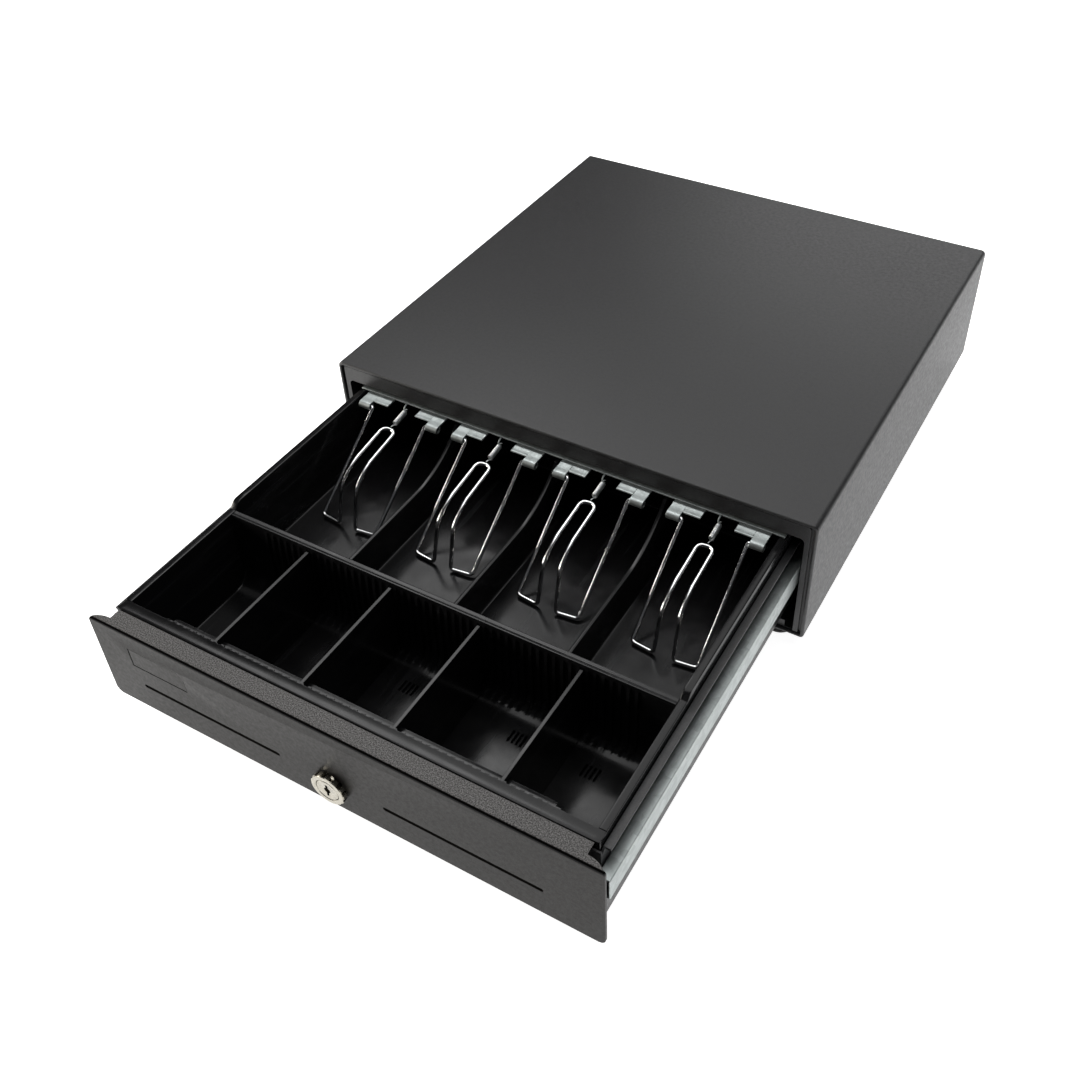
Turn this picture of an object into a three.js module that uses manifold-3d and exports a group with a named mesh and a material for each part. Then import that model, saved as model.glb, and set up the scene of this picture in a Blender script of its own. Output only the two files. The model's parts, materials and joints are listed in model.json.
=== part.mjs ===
// Under-counter cash drawer: a folded steel case, and a drawer on roller rails that holds a till insert.
// Millimetres. +X right, +Y to the rear, +Z up. The drawer is modelled open.
// Inside the assembly group, y = 0 is the plane of the case's front and z = 0 the case's underside.
import * as THREE from "three";
import { mergeVertices } from "three/addons/utils/BufferGeometryUtils.js";
import Module from "manifold-3d";

const wasm = await Module();
wasm.setup();

// ---- Driving dimensions ----

const GAP = 0.3; // clearance between touching pieces
const SHEET = 1.2; // gauge of the folded steel

const CASE = { halfWidth: 165, depth: 330, height: 90, corner: 3.5, hem: 2.4, hemDepth: 8, flange: 37 };
const OPENING = { halfWidth: 157.8, top: 77.2, lip: 7.5 };
const FRAME = { front: 0.8, back: 2, lipFront: 1.5, lipRear: 16, headerHalf: 156, foot: 3.2 };
const REAR_PANEL = { front: 327, rear: 328.2, flangeFront: 317, bottom: 3.2, clearFrom: 300, clearTo: 326.6 };
const FOOT = { radius: 10, height: 10, x: 145, front: 15, rear: 313 };

const OPEN_BY = 226; // how far the drawer stands out of the case
const DRAWER = { halfWidth: 149.6, front: -217, rear: 46.2, floor: 9, wallTop: 66, hem: 3 };
const PLATE = {
  halfWidth: 157, bottom: 8.5, top: 70, front: -227, thickness: 1.5, corner: 4.5, flangeRear: -215.6,
};
const PULL_END = { inset: 1, step: 11.5, strip: 4.9, bend: 5 }; // how the pull edge narrows at both its ends
const MEDIA_SLOTS = { spans: [[-129.5, -34.6], [31.4, 124]], bottom: 27.4, top: 30, corner: 1.2 };
const TILL = { halfWidth: 148, front: -215.2, rear: 36, bottom: 10.8, rim: 70.5, wallTop: 74.5, skin: 2.2 };
const COIN = { halfWidth: 143.5, front: -208.3, rear: -130.4, floor: 18 };
const COIN_DIVIDERS = [-86.4, -28.8, 28.8, 91.2];
const COIN_DIVIDER = { thickness: 2, top: 68 };
const BILL = { halfWidth: 144, front: -125.8, rear: 33.6, floor: 28, pitch: 73, divider: 2.4 };
const DIVIDER_TOP = { high: 73, low: 53, highFrom: -2, lowTo: -46 };
const BRACKET = { bottom: 74.8, front: -1.5, rear: 12, halfWidth: 147 };

const RAIL = { bottom: 41, top: 56, inner: 150, outer: 156.8, front: -222, flangeRear: 80, rear: 98 };
const CASE_RAIL = { bottom: 38, top: 59.2, inner: 152, outer: 162.2, front: 18, flangeFront: 36, rear: 322 };
const FRONT_ROLLER = { y: 26, radius: 6, from: 150.4, to: 156.2 };
const REAR_ROLLER = { y: 90, radius: 9.1, from: 149.9, to: 155.2 };
const ROLLER_PIN = 2;

const HINGE = { y: -12, z: 73.4, knuckle: 2.6, bore: 1.65 }; // clip hinge line under the bracket
const WIRE = 1.2; // radius of the bill clips' wire
const SPRING_HOOK = { y: -3.5, z: 73.2 };

const LOCK = {
  x: -1.2, z: 25.6, front: -231, radius: 10.4, plug: 6.9, neck: 8.5, neckRear: -220, tongue: 20.4,
};
const LATCH = { x: -40, y: 306, bottom: 18.5, thickness: 2.5 };
const SOLENOID = { y: 318, z: 19.5, from: -26, to: 18 };
const EJECTOR = { x: 60, z: 22, front: 272.6 };
const SWITCH = { x: 105, z: 14, front: 272.6 };
const SOCKET = { x: -73, z: 27, half: 7, cavity: 5 };

// The origin of the part: centre of its footprint, on the plane that its feet rest on.
const FRONT_MOST = LOCK.front;
const ORIGIN_Y = (FRONT_MOST + CASE.depth) / 2;

const CLIP_X = [-109.5, -38.2, 34.4, 109.5]; // middles of the bill clips along the bracket

// ---- Materials ----

function finish(color, roughness, metalness) {
  return new THREE.MeshStandardMaterial({ color, roughness, metalness });
}

const casePaint = finish(0x1c1c1e, 0.55, 0.2);
const frontPaint = finish(0x4a4846, 0.5, 0.2);
const tillPlastic = finish(0x0c0c0d, 0.2, 0);
const zinc = finish(0xb4bdbd, 0.4, 0.9);
const nickel = finish(0xd2cdc0, 0.25, 1);
const chrome = finish(0xe2e2e4, 0.12, 1);
const springSteel = finish(0x9a9c9e, 0.35, 0.9);
const rubber = finish(0x111111, 0.85, 0);
const blackPlastic = finish(0x151515, 0.5, 0);
const nylon = finish(0xd8d6ce, 0.5, 0);
const coilTape = finish(0xa8742a, 0.6, 0);

// ---- Solids ----

function solidOf(geometry) {
  const bare = geometry.clone();
  bare.deleteAttribute("normal");
  bare.deleteAttribute("uv");
  const merged = mergeVertices(bare, 1e-4);
  const vertProperties = merged.getAttribute("position").array;
  const triVerts = new Uint32Array(merged.index.array);
  return new wasm.Manifold(new wasm.Mesh({ numProp: 3, vertProperties, triVerts }));
}

function geometryOf(solid) {
  const mesh = solid.getMesh();
  const geometry = new THREE.BufferGeometry();
  geometry.setAttribute("position", new THREE.BufferAttribute(new Float32Array(mesh.vertProperties), 3));
  geometry.setIndex(new THREE.BufferAttribute(new Uint32Array(mesh.triVerts), 1));
  return geometry;
}

function join(first, ...others) {
  return geometryOf(others.reduce((sum, other) => sum.add(solidOf(other)), solidOf(first)));
}

function cut(first, ...tools) {
  return geometryOf(tools.reduce((rest, tool) => rest.subtract(solidOf(tool)), solidOf(first)));
}

function box([x0, x1], [y0, y1], [z0, z1]) {
  const geometry = new THREE.BoxGeometry(x1 - x0, y1 - y0, z1 - z0);
  return geometry.translate((x0 + x1) / 2, (y0 + y1) / 2, (z0 + z1) / 2);
}

const X = new THREE.Vector3(1, 0, 0);
const Y = new THREE.Vector3(0, 1, 0);
const Z = new THREE.Vector3(0, 0, 1);

function prism(shape, length, curveSegments = 6) {
  return new THREE.ExtrudeGeometry(shape, { depth: length, bevelEnabled: false, curveSegments });
}

// An outline drawn in (y, z), swept from x0 to x1.
function alongX(shape, x0, x1, curveSegments) {
  const turned = new THREE.Matrix4().makeBasis(Y, Z, X);
  return prism(shape, x1 - x0, curveSegments).applyMatrix4(turned).translate(x0, 0, 0);
}

// An outline drawn in (x, z), swept from y0 to y1.
function alongY(shape, y0, y1, curveSegments) {
  const turned = new THREE.Matrix4().makeBasis(X, Z, Y.clone().negate());
  return prism(shape, y1 - y0, curveSegments).applyMatrix4(turned).translate(0, y1, 0);
}

// An outline drawn in (x, y), swept from z0 to z1.
function alongZ(shape, z0, z1, curveSegments) {
  return prism(shape, z1 - z0, curveSegments).translate(0, 0, z0);
}

function outline(points) {
  return new THREE.Shape(points.map(([a, b]) => new THREE.Vector2(a, b)));
}

// A rectangle with its own radius at each corner: lower left, lower right, upper right, upper left.
function rounded([a0, a1], [b0, b1], [r0, r1, r2, r3]) {
  const shape = new THREE.Shape();
  shape.moveTo(a0 + r0, b0);
  shape.lineTo(a1 - r1, b0);
  if (r1) shape.absarc(a1 - r1, b0 + r1, r1, -Math.PI / 2, 0, false);
  shape.lineTo(a1, b1 - r2);
  if (r2) shape.absarc(a1 - r2, b1 - r2, r2, 0, Math.PI / 2, false);
  shape.lineTo(a0 + r3, b1);
  if (r3) shape.absarc(a0 + r3, b1 - r3, r3, Math.PI / 2, Math.PI, false);
  shape.lineTo(a0, b0 + r0);
  if (r0) shape.absarc(a0 + r0, b0 + r0, r0, Math.PI, Math.PI * 1.5, false);
  return shape;
}

function disc(a, b, radius) {
  const shape = new THREE.Shape();
  shape.absarc(a, b, radius, 0, Math.PI * 2, false);
  return shape;
}

function ring(a, b, outer, inner) {
  const shape = disc(a, b, outer);
  shape.holes.push(disc(a, b, inner));
  return shape;
}

// A turned piece about a vertical axis, from a closed (radius, height) profile.
function turned(profile, sides) {
  const points = profile.map(([r, h]) => new THREE.Vector2(r, h));
  return new THREE.LatheGeometry([...points, points[0]], sides).rotateX(Math.PI / 2);
}

// A wire path: straight runs whose corners are rounded, sampled at exactly its own points.
class WirePath extends THREE.Curve {
  constructor(corners, radii, stepsPerBend = 3) {
    super();
    this.points = [corners[0]];
    corners.slice(1, -1).forEach((corner, i) => {
      const radius = radii[i];
      const towards = (other) => other.clone().sub(corner).setLength(radius).add(corner);
      const bend = new THREE.QuadraticBezierCurve3(towards(corners[i]), corner, towards(corners[i + 2]));
      this.points.push(...bend.getPoints(stepsPerBend));
    });
    this.points.push(corners.at(-1));
  }
  getUtoTmapping(u) {
    return u;
  }
  getPoint(t, target = new THREE.Vector3()) {
    const place = Math.min(Math.max(t, 0), 1) * (this.points.length - 1);
    const i = Math.min(Math.floor(place), this.points.length - 2);
    return target.lerpVectors(this.points[i], this.points[i + 1], place - i);
  }
}

function wire(path, radius, sides = 6) {
  const steps = path.points.length - 1;
  const options = { steps, extrudePath: path, curveSegments: sides, bevelEnabled: false };
  return new THREE.ExtrudeGeometry(disc(0, 0, radius), options);
}

// ---- The scene graph ----

const drawer = new THREE.Group();
const housing = new THREE.Group();
const assembly = new THREE.Group();
assembly.add(housing, drawer);
assembly.position.set(0, -ORIGIN_Y, FOOT.height);
const cashDrawer = new THREE.Group();
cashDrawer.add(assembly);

function piece(parent, name, geometry, material) {
  const mesh = new THREE.Mesh(geometry, material);
  mesh.name = name;
  parent.add(mesh);
  return mesh;
}

// ---- Case ----

// A cover section: the case's outer outline above z0, with a wall of the given thickness, open below.
function coverSection(thickness, z0) {
  const { halfWidth: w, height: h, corner: r } = CASE;
  const shape = new THREE.Shape();
  const inner = r - Math.min(thickness, r - 0.5);
  shape.moveTo(-w, z0);
  shape.lineTo(-w + thickness, z0);
  shape.lineTo(-w + thickness, h - thickness - inner);
  shape.absarc(-w + thickness + inner, h - thickness - inner, inner, Math.PI, Math.PI / 2, true);
  shape.lineTo(w - thickness - inner, h - thickness);
  shape.absarc(w - thickness - inner, h - thickness - inner, inner, Math.PI / 2, 0, true);
  shape.lineTo(w - thickness, z0);
  shape.lineTo(w, z0);
  shape.lineTo(w, h - r);
  shape.absarc(w - r, h - r, r, 0, Math.PI / 2, false);
  shape.lineTo(-w + r, h);
  shape.absarc(-w + r, h - r, r, Math.PI / 2, Math.PI, false);
  return shape;
}

function makeCaseShell() {
  const { halfWidth: w, depth, hem, hemDepth, flange } = CASE;
  const cover = alongY(coverSection(SHEET, 0), 0, depth, 4);
  const frontHem = alongY(coverSection(hem, 0), 0, hemDepth, 4);
  const flanges = [-1, 1].map((side) => {
    const edges = [side * w, side * (w - flange)].sort((a, b) => a - b);
    return box(edges, [0, depth], [0, SHEET]);
  });
  return join(cover, frontHem, ...flanges);
}

function makeFrontFrame() {
  const outerHalf = CASE.halfWidth - CASE.hem - 1.7;
  const outerTop = CASE.height - CASE.hem - 0.4;
  const { front, back, lipFront, lipRear, headerHalf, foot } = FRAME;
  const face = rounded([-outerHalf, outerHalf], [foot, outerTop], [0, 0, 2, 2]);
  const mouth = rounded([-OPENING.halfWidth, OPENING.halfWidth], [0, OPENING.top], [0, 0, 3, 3]);
  const plate = alongY(face, front, back, 3);
  const headerLip = box([-headerHalf, headerHalf], [lipFront, lipRear], [OPENING.top, OPENING.top + SHEET]);
  const jambLips = [-1, 1].map((side) => {
    const edges = [side * OPENING.halfWidth, side * (OPENING.halfWidth + SHEET)].sort((a, b) => a - b);
    return box(edges, [lipFront, lipRear], [foot, OPENING.top - 4]);
  });
  return geometryOf(
    solidOf(plate)
      .subtract(solidOf(alongY(mouth, -1, 3, 3)))
      .add(solidOf(headerLip))
      .add(solidOf(jambLips[0]))
      .add(solidOf(jambLips[1])),
  );
}

function makeBasePlate() {
  const half = CASE.halfWidth - CASE.hem - 0.4;
  const sheet = box([-half, half], [2.3, 328.2], [SHEET + GAP, 2 * SHEET + GAP]);
  const lip = box([-half + 10, half - 10], [2.3, 2.3 + SHEET], [SHEET + GAP, OPENING.lip]);
  return join(sheet, lip);
}

function makeRearPanel() {
  const half = CASE.halfWidth - SHEET - 0.4;
  const { front, rear, flangeFront, bottom, clearFrom, clearTo } = REAR_PANEL;
  const outer = rounded([-half, half], [bottom, CASE.height - SHEET - 0.4], [0, 0, 3, 3]);
  const panel = alongY(outer, front, rear, 3);
  const socketReach = SOCKET.half + 0.4;
  const across = [SOCKET.x - socketReach, SOCKET.x + socketReach];
  const socketHole = box(across, [front - 1, rear + 2], [SOCKET.z - socketReach, SOCKET.z + socketReach]);
  const floorFlange = box([-half, half], [flangeFront, front + 0.5], [bottom, bottom + SHEET]);
  const clearSolenoid = box([SOLENOID.from - 4, SOLENOID.to + 4], [clearFrom, clearTo], [2, 6]);
  const clearEjector = box([EJECTOR.x - 8, EJECTOR.x + 8], [clearFrom, clearTo], [2, 6]);
  return cut(join(panel, floorFlange), socketHole, clearSolenoid, clearEjector);
}

function makeFoot() {
  const { radius: r, height: h } = FOOT;
  return turned([[0, -h], [r - 1.5, -h], [r - 0.4, -h + 1], [r, -GAP - 1], [r - 0.8, -GAP], [0, -GAP]], 20);
}

piece(housing, "case_shell", makeCaseShell(), casePaint);
piece(housing, "front_frame", makeFrontFrame(), casePaint);
piece(housing, "base_plate", makeBasePlate(), casePaint);
piece(housing, "rear_panel", makeRearPanel(), casePaint);
for (const [side, sign] of [["left", -1], ["right", 1]]) {
  piece(housing, `foot_front_${side}`, makeFoot(), rubber).position.set(sign * FOOT.x, FOOT.front, 0);
  piece(housing, `foot_rear_${side}`, makeFoot(), rubber).position.set(sign * FOOT.x, FOOT.rear, 0);
}

// ---- Rails and rollers ----

// Right-hand pieces are drawn; a left-hand piece is the same outline mirrored in x.
const between = (sign, a, b) => (sign > 0 ? [a, b] : [-b, -a]);

function makeCaseRail(sign) {
  const { bottom, top, inner, outer, front, flangeFront, rear } = CASE_RAIL;
  const web = box(between(sign, outer - SHEET, outer), [front, rear], [bottom, top]);
  const rollerTab = box(between(sign, outer - SHEET, outer), [front, flangeFront], [28, bottom + 1]);
  const upper = box(between(sign, inner, outer), [front, rear], [top - SHEET, top]);
  const lower = box(between(sign, inner, outer), [flangeFront, rear], [bottom, bottom + SHEET]);
  return join(web, rollerTab, upper, lower);
}

function makeDrawerRail(sign) {
  const { bottom, top, inner, outer, front, flangeRear, rear } = RAIL;
  const web = box(between(sign, outer - SHEET, outer), [front, rear], [bottom, top]);
  const upper = box(between(sign, inner, outer), [front, flangeRear], [top - SHEET, top]);
  const lower = box(between(sign, inner, outer), [front, flangeRear], [bottom, bottom + SHEET]);
  return join(web, upper, lower);
}

function makeRoller(sign, { radius, from, to }) {
  return alongX(ring(0, 0, radius, ROLLER_PIN + 0.35), ...between(sign, from, to), 8);
}

// A riveted pin: a head against the roller, a shank, ending just short of the rail's web.
function makeRollerPin(sign, { from, to }, end) {
  const shank = alongX(disc(0, 0, ROLLER_PIN), ...between(sign, from - 0.2, end), 6);
  const collar = alongX(disc(0, 0, ROLLER_PIN + 1.2), ...between(sign, to + GAP, end), 6);
  return join(shank, collar);
}

const frontRollerZ = RAIL.bottom - GAP - FRONT_ROLLER.radius;
const rearRollerZ = (CASE_RAIL.bottom + CASE_RAIL.top) / 2;
const FRONT_PIN_END = CASE_RAIL.outer - SHEET - GAP;
const REAR_PIN_FROM = RAIL.outer - SHEET - GAP;

for (const [side, sign] of [["left", -1], ["right", 1]]) {
  piece(housing, `case_rail_${side}`, makeCaseRail(sign), zinc);
  piece(drawer, `drawer_rail_${side}`, makeDrawerRail(sign), zinc);
  const front = [0, FRONT_ROLLER.y, frontRollerZ];
  piece(housing, `front_roller_${side}`, makeRoller(sign, FRONT_ROLLER), nylon).position.set(...front);
  const pin = makeRollerPin(sign, FRONT_ROLLER, FRONT_PIN_END);
  piece(housing, `front_roller_pin_${side}`, pin, zinc).position.set(...front);
  const rear = [0, REAR_ROLLER.y, rearRollerZ];
  piece(drawer, `rear_roller_${side}`, makeRoller(sign, REAR_ROLLER), nylon).position.set(...rear);
  const rivet = alongX(disc(0, 0, ROLLER_PIN), ...between(sign, REAR_ROLLER.from - 0.2, REAR_PIN_FROM), 6);
  piece(drawer, `rear_roller_pin_${side}`, rivet, zinc).position.set(...rear);
}

// ---- Drawer tray and front ----

function makeDrawerTray() {
  const { halfWidth: w, front, rear, floor, wallTop, hem } = DRAWER;
  const rearWall = box([-w, w], [rear - SHEET, rear], [floor, wallTop - 8]);
  const frontWall = box([-w, w], [front, front + SHEET], [floor, wallTop]);
  const sheet = box([-w, w], [front, rear], [floor, floor + SHEET]);
  const walls = [-1, 1].flatMap((sign) => {
    const side = rounded([front, rear], [floor, wallTop], [0, 0, 0, 6]);
    const wall = alongX(side, ...between(sign, w - SHEET, w), 3);
    const folded = box(between(sign, w - SHEET, w + hem), [front + 4, rear - 3], [wallTop - 1.5, wallTop]);
    return [wall, folded];
  });
  return join(sheet, frontWall, rearWall, ...walls);
}

// The pull edge along the front plate's top, seen from above: past a step at each end, a narrow strip
// curves in to the plate's corner.
function pullFlange() {
  const { halfWidth, front, flangeRear } = PLATE;
  const { inset, step, strip, bend } = PULL_END;
  const end = halfWidth - inset;
  const shoulder = halfWidth - step;
  const shape = new THREE.Shape();
  shape.moveTo(-end, front);
  shape.lineTo(end, front);
  shape.lineTo(end, front + inset);
  shape.quadraticCurveTo(halfWidth - bend, front + strip, shoulder, front + strip);
  shape.lineTo(shoulder, flangeRear);
  shape.lineTo(-shoulder, flangeRear);
  shape.lineTo(-shoulder, front + strip);
  shape.quadraticCurveTo(bend - halfWidth, front + strip, -end, front + inset);
  return shape;
}

const BADGE = { left: -133, right: -94, bottom: 43.4, top: 57, chamfer: 4, depth: 0.6 };

function badgeOutline(inset) {
  const { left, right, bottom, top, chamfer } = BADGE;
  return outline([
    [left + inset, bottom + inset],
    [right - inset, bottom + inset],
    [right - inset, top - chamfer - inset / 2],
    [right - chamfer - inset / 2, top - inset],
    [left + inset, top - inset],
  ]);
}

function makeFrontPlate() {
  const { halfWidth: w, bottom, top, front, thickness: t, corner, flangeRear } = PLATE;
  const face = rounded([-w, w], [bottom, top], [corner, corner, 2.5, 2.5]);
  const { spans, bottom: slotBottom, top: slotTop, corner: r } = MEDIA_SLOTS;
  const mediaSlots = spans.map((span) => rounded(span, [slotBottom, slotTop], [r, r, r, r]));
  face.holes.push(disc(LOCK.x, LOCK.z, LOCK.neck + GAP), ...mediaSlots);
  const plate = alongY(face, front, front + t, 8);
  const flange = alongZ(pullFlange(), top - t, top);
  const lowerFlange = box([-150, 150], [front + 0.5, front + 6.8], [bottom, bottom + t]);
  const recess = alongY(badgeOutline(0), front - 1, front + BADGE.depth);
  return cut(join(plate, flange, lowerFlange), recess);
}

const badgeFace = PLATE.front + 0.15;
piece(drawer, "drawer_tray", makeDrawerTray(), casePaint);
piece(drawer, "front_plate", makeFrontPlate(), frontPaint);
piece(drawer, "badge", alongY(badgeOutline(0.4), badgeFace, PLATE.front + BADGE.depth - 0.1), frontPaint);

// ---- Lock ----

const lockAt = { a: LOCK.x, b: LOCK.z };

function makeLockBarrel() {
  const bore = LOCK.plug + GAP;
  const { a, b } = lockAt;
  const head = alongY(ring(a, b, LOCK.radius, bore), LOCK.front, PLATE.front - GAP, 8);
  const neck = alongY(ring(a, b, LOCK.neck, bore), PLATE.front - 1, LOCK.neckRear, 8);
  return join(head, neck);
}

function makeLockCylinder() {
  const { a, b } = lockAt;
  const plug = alongY(disc(a, b, LOCK.plug), LOCK.front + 0.6, LOCK.neckRear + 0.1, 8);
  const tail = alongY(disc(a, b, 3), LOCK.neckRear, -217.5, 6);
  const keyway = box([a - 0.7, a + 0.7], [LOCK.front, LOCK.front + 7], [b - 4.6, b + 4.6]);
  const keyhole = alongY(disc(a, b, 2), LOCK.front, LOCK.front + 7, 6);
  return cut(join(plug, tail), keyway, keyhole);
}

function makeLockNut() {
  const { a, b } = lockAt;
  const hexagon = outline([0, 1, 2, 3, 4, 5].map((i) => {
    const angle = (i * Math.PI) / 3;
    return [a + 12.4 * Math.cos(angle), b + 12.4 * Math.sin(angle)];
  }));
  hexagon.holes.push(disc(a, b, LOCK.neck + GAP));
  return alongY(hexagon, PLATE.front + PLATE.thickness + GAP, -222.2, 6);
}

// The tongue lies level when unlocked; a quarter turn points it down behind the case's front lip.
function makeLockCam() {
  const { a, b } = lockAt;
  const tongue = rounded([a - 6, a + LOCK.tongue], [b - 6, b + 6], [5, 3, 3, 5]);
  tongue.holes.push(disc(a, b, 3 + GAP));
  return alongY(tongue, -219.6, -218.2, 4);
}

piece(drawer, "lock_barrel", makeLockBarrel(), nickel);
piece(drawer, "lock_cylinder", makeLockCylinder(), nickel);
piece(drawer, "lock_nut", makeLockNut(), nickel);
piece(drawer, "lock_cam", makeLockCam(), zinc);

// ---- Till insert ----

// The coin trough's section in (y, z): steep walls that scoop into a flat floor.
function coinTrough(inset, top) {
  const { front, rear, floor } = COIN;
  const y0 = front + inset;
  const y1 = rear - inset;
  const z0 = floor + inset;
  const shape = new THREE.Shape();
  shape.moveTo(y0, top);
  shape.lineTo(y0 + 1, z0 + 26);
  shape.quadraticCurveTo(y0 + 2.5, z0 + 1, y0 + 24, z0);
  shape.lineTo(y1 - 13, z0);
  shape.quadraticCurveTo(y1 - 1, z0 + 0.5, y1 - 0.5, z0 + 13);
  shape.lineTo(y1, top);
  return shape;
}

// What is taken off the bill dividers' tops: low along their front, curving up to the rear.
function dividerRelief() {
  const { high, low, highFrom, lowTo } = DIVIDER_TOP;
  const above = TILL.wallTop + 5;
  const shape = new THREE.Shape();
  shape.moveTo(BILL.front - 0.2, above);
  shape.lineTo(BILL.front - 0.2, low);
  shape.lineTo(lowTo, low);
  shape.bezierCurveTo(lowTo + 16, low, highFrom - 7, high - 9, highFrom, high);
  shape.lineTo(BILL.rear + 0.2, high);
  shape.lineTo(BILL.rear + 0.2, above);
  return shape;
}

function makeTill() {
  const { halfWidth: w, front, rear, bottom, rim, wallTop, skin } = TILL;
  const step = BILL.front - 0.5;
  const side = new THREE.Shape();
  side.moveTo(front, bottom);
  side.lineTo(rear, bottom);
  side.lineTo(rear, wallTop);
  side.lineTo(step + 4, wallTop);
  side.quadraticCurveTo(step, wallTop, step, rim);
  side.lineTo(front, rim);
  let body = solidOf(alongX(side, -w, w, 5));
  const cutters = [alongX(coinTrough(0, rim + 5), -COIN.halfWidth, COIN.halfWidth, 6)];
  const edges = [-BILL.halfWidth, ...[-1, 0, 1].map((i) => i * BILL.pitch), BILL.halfWidth];
  for (let i = 0; i < 4; i += 1) {
    const x0 = edges[i] + (i > 0 ? BILL.divider / 2 : 0);
    const x1 = edges[i + 1] - (i < 3 ? BILL.divider / 2 : 0);
    cutters.push(box([x0, x1], [BILL.front, BILL.rear], [BILL.floor, wallTop + 5]));
  }
  cutters.push(alongX(dividerRelief(), -BILL.halfWidth, BILL.halfWidth, 6));
  const inside = w - skin;
  cutters.push(box([-inside, inside], [BILL.front + 1, rear - skin], [bottom - 1, BILL.floor - skin]));
  cutters.push(box([-inside, inside], [COIN.front + 24, COIN.rear - 14], [bottom - 1, COIN.floor - skin]));
  for (const cutter of cutters) body = body.subtract(solidOf(cutter));
  return geometryOf(body);
}

function makeCoinDivider(x) {
  const half = COIN_DIVIDER.thickness / 2;
  return alongX(coinTrough(0.4, COIN_DIVIDER.top), x - half, x + half, 5);
}

piece(drawer, "till_tray", makeTill(), tillPlastic);
COIN_DIVIDERS.forEach((x, i) => {
  piece(drawer, `coin_divider_${i + 1}`, makeCoinDivider(x), tillPlastic);
});

// ---- Clip bracket, bill clips and their springs ----

const TAB = { from: 10.5, to: 30, front: -9, knuckleFrom: 21.6 };

function makeClipBracket() {
  const { bottom, front, rear, halfWidth: w } = BRACKET;
  const level = [bottom, bottom + SHEET];
  const strip = box([-w, w], [front, rear], level);
  const pieces = [];
  for (const x of CLIP_X) {
    for (const sign of [-1, 1]) {
      const span = (a, b) => between(sign, a, b).map((dx) => x + dx);
      pieces.push(box(span(TAB.from, TAB.to), [TAB.front, front + 1], level));
      pieces.push(box(span(TAB.knuckleFrom, TAB.to), [HINGE.y, front + 1], level));
      const knuckle = ring(HINGE.y, HINGE.z, HINGE.knuckle, HINGE.bore);
      pieces.push(alongX(knuckle, ...span(TAB.knuckleFrom, TAB.to), 6));
    }
    pieces.push(box([x - 1.2, x + 1.2], [SPRING_HOOK.y - 0.6, front + 1], level));
  }
  return join(strip, ...pieces);
}

// A W-shaped wire: pivot end, outer leg down to the front, along, inner leg up and back, and round.
function clipPath() {
  const half = [
    [27.8, HINGE.y, HINGE.z],
    [20.3, HINGE.y, HINGE.z],
    [20.3, -73, 30],
    [6, -74.5, 29.8],
    [5.4, -67, 57],
    [5, -54, 65.5],
    [4.8, -22.5, 70.4],
  ];
  const radii = [1.6, 2.6, 2.6, 5, 5, 4.4];
  const mirrored = [...half].reverse().map(([x, y, z]) => [-x, y, z]);
  const corners = [...half, ...mirrored].map((p) => new THREE.Vector3(...p));
  return new WirePath(corners, [...radii, ...[...radii].reverse()]);
}

function makeBillClip() {
  return wire(clipPath(), WIRE, 4);
}

// The clip's return spring, in its sleeve, reaching from the bracket's hook towards the clip's loop.
function makeClipSpring() {
  const length = 11.5;
  const sleeve = new THREE.CylinderGeometry(1.9, 1.9, length, 10);
  const slope = Math.atan2(2.6, 19);
  return sleeve
    .translate(0, -2.2 - length / 2, 0)
    .rotateX(slope)
    .translate(0, SPRING_HOOK.y, SPRING_HOOK.z - 0.4);
}

piece(drawer, "clip_bracket", makeClipBracket(), zinc);
CLIP_X.forEach((x, i) => {
  piece(drawer, `bill_clip_${i + 1}`, makeBillClip(), chrome).position.x = x;
  piece(drawer, `clip_spring_${i + 1}`, makeClipSpring(), springSteel).position.x = x;
});

// ---- Latch ----

const CLOSED_REAR = DRAWER.rear + OPEN_BY;
const POST = { x: -22, y: 284 - OPEN_BY, radius: 2.2 };

function makeStriker() {
  const backing = box([-34, -10], [DRAWER.rear + GAP, DRAWER.rear + 1.8], [11, 26]);
  const arm = box([-28, -16], [DRAWER.rear + 1, POST.y + 4], [15, 17]);
  const post = alongZ(disc(POST.x, POST.y, POST.radius), 16, 24, 5);
  return join(backing, arm, post);
}

function makeLatchLever() {
  const { x, y, bottom, thickness } = LATCH;
  const lever = outline([
    [x - 5, y + 17],
    [x - 5, CLOSED_REAR + 4],
    [x + 12, CLOSED_REAR + 4],
    [x + 23, CLOSED_REAR + 8.6],
    [x + 5, CLOSED_REAR + 8.6],
    [x + 5, y + 17],
  ]);
  lever.holes.push(disc(x, y, 2.9), rounded([x - 2.1, x + 2.1], [y + 9, y + 15], [1, 1, 1, 1]));
  return alongZ(lever, bottom, bottom + thickness, 5);
}

function makeLatchPin() {
  const profile = [[0, 3], [5, 3], [5, 18.2], [2.5, 18.2], [2.5, 21.4], [4, 21.4], [4, 23], [0, 23]];
  return turned(profile, 14).translate(LATCH.x, LATCH.y, 0);
}

function makeLatchSpring() {
  const coil = alongZ(ring(LATCH.x, LATCH.y, 7.4, 5.4), 8, 15, 6);
  const leg = box([LATCH.x - 7.3, LATCH.x - 6.1], [LATCH.y - 18, LATCH.y], [13, 14.2]);
  return join(coil, leg);
}

piece(drawer, "striker", makeStriker(), zinc);
piece(housing, "latch_lever", makeLatchLever(), zinc);
piece(housing, "latch_pin", makeLatchPin(), zinc);
piece(housing, "latch_spring", makeLatchSpring(), springSteel);

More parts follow.
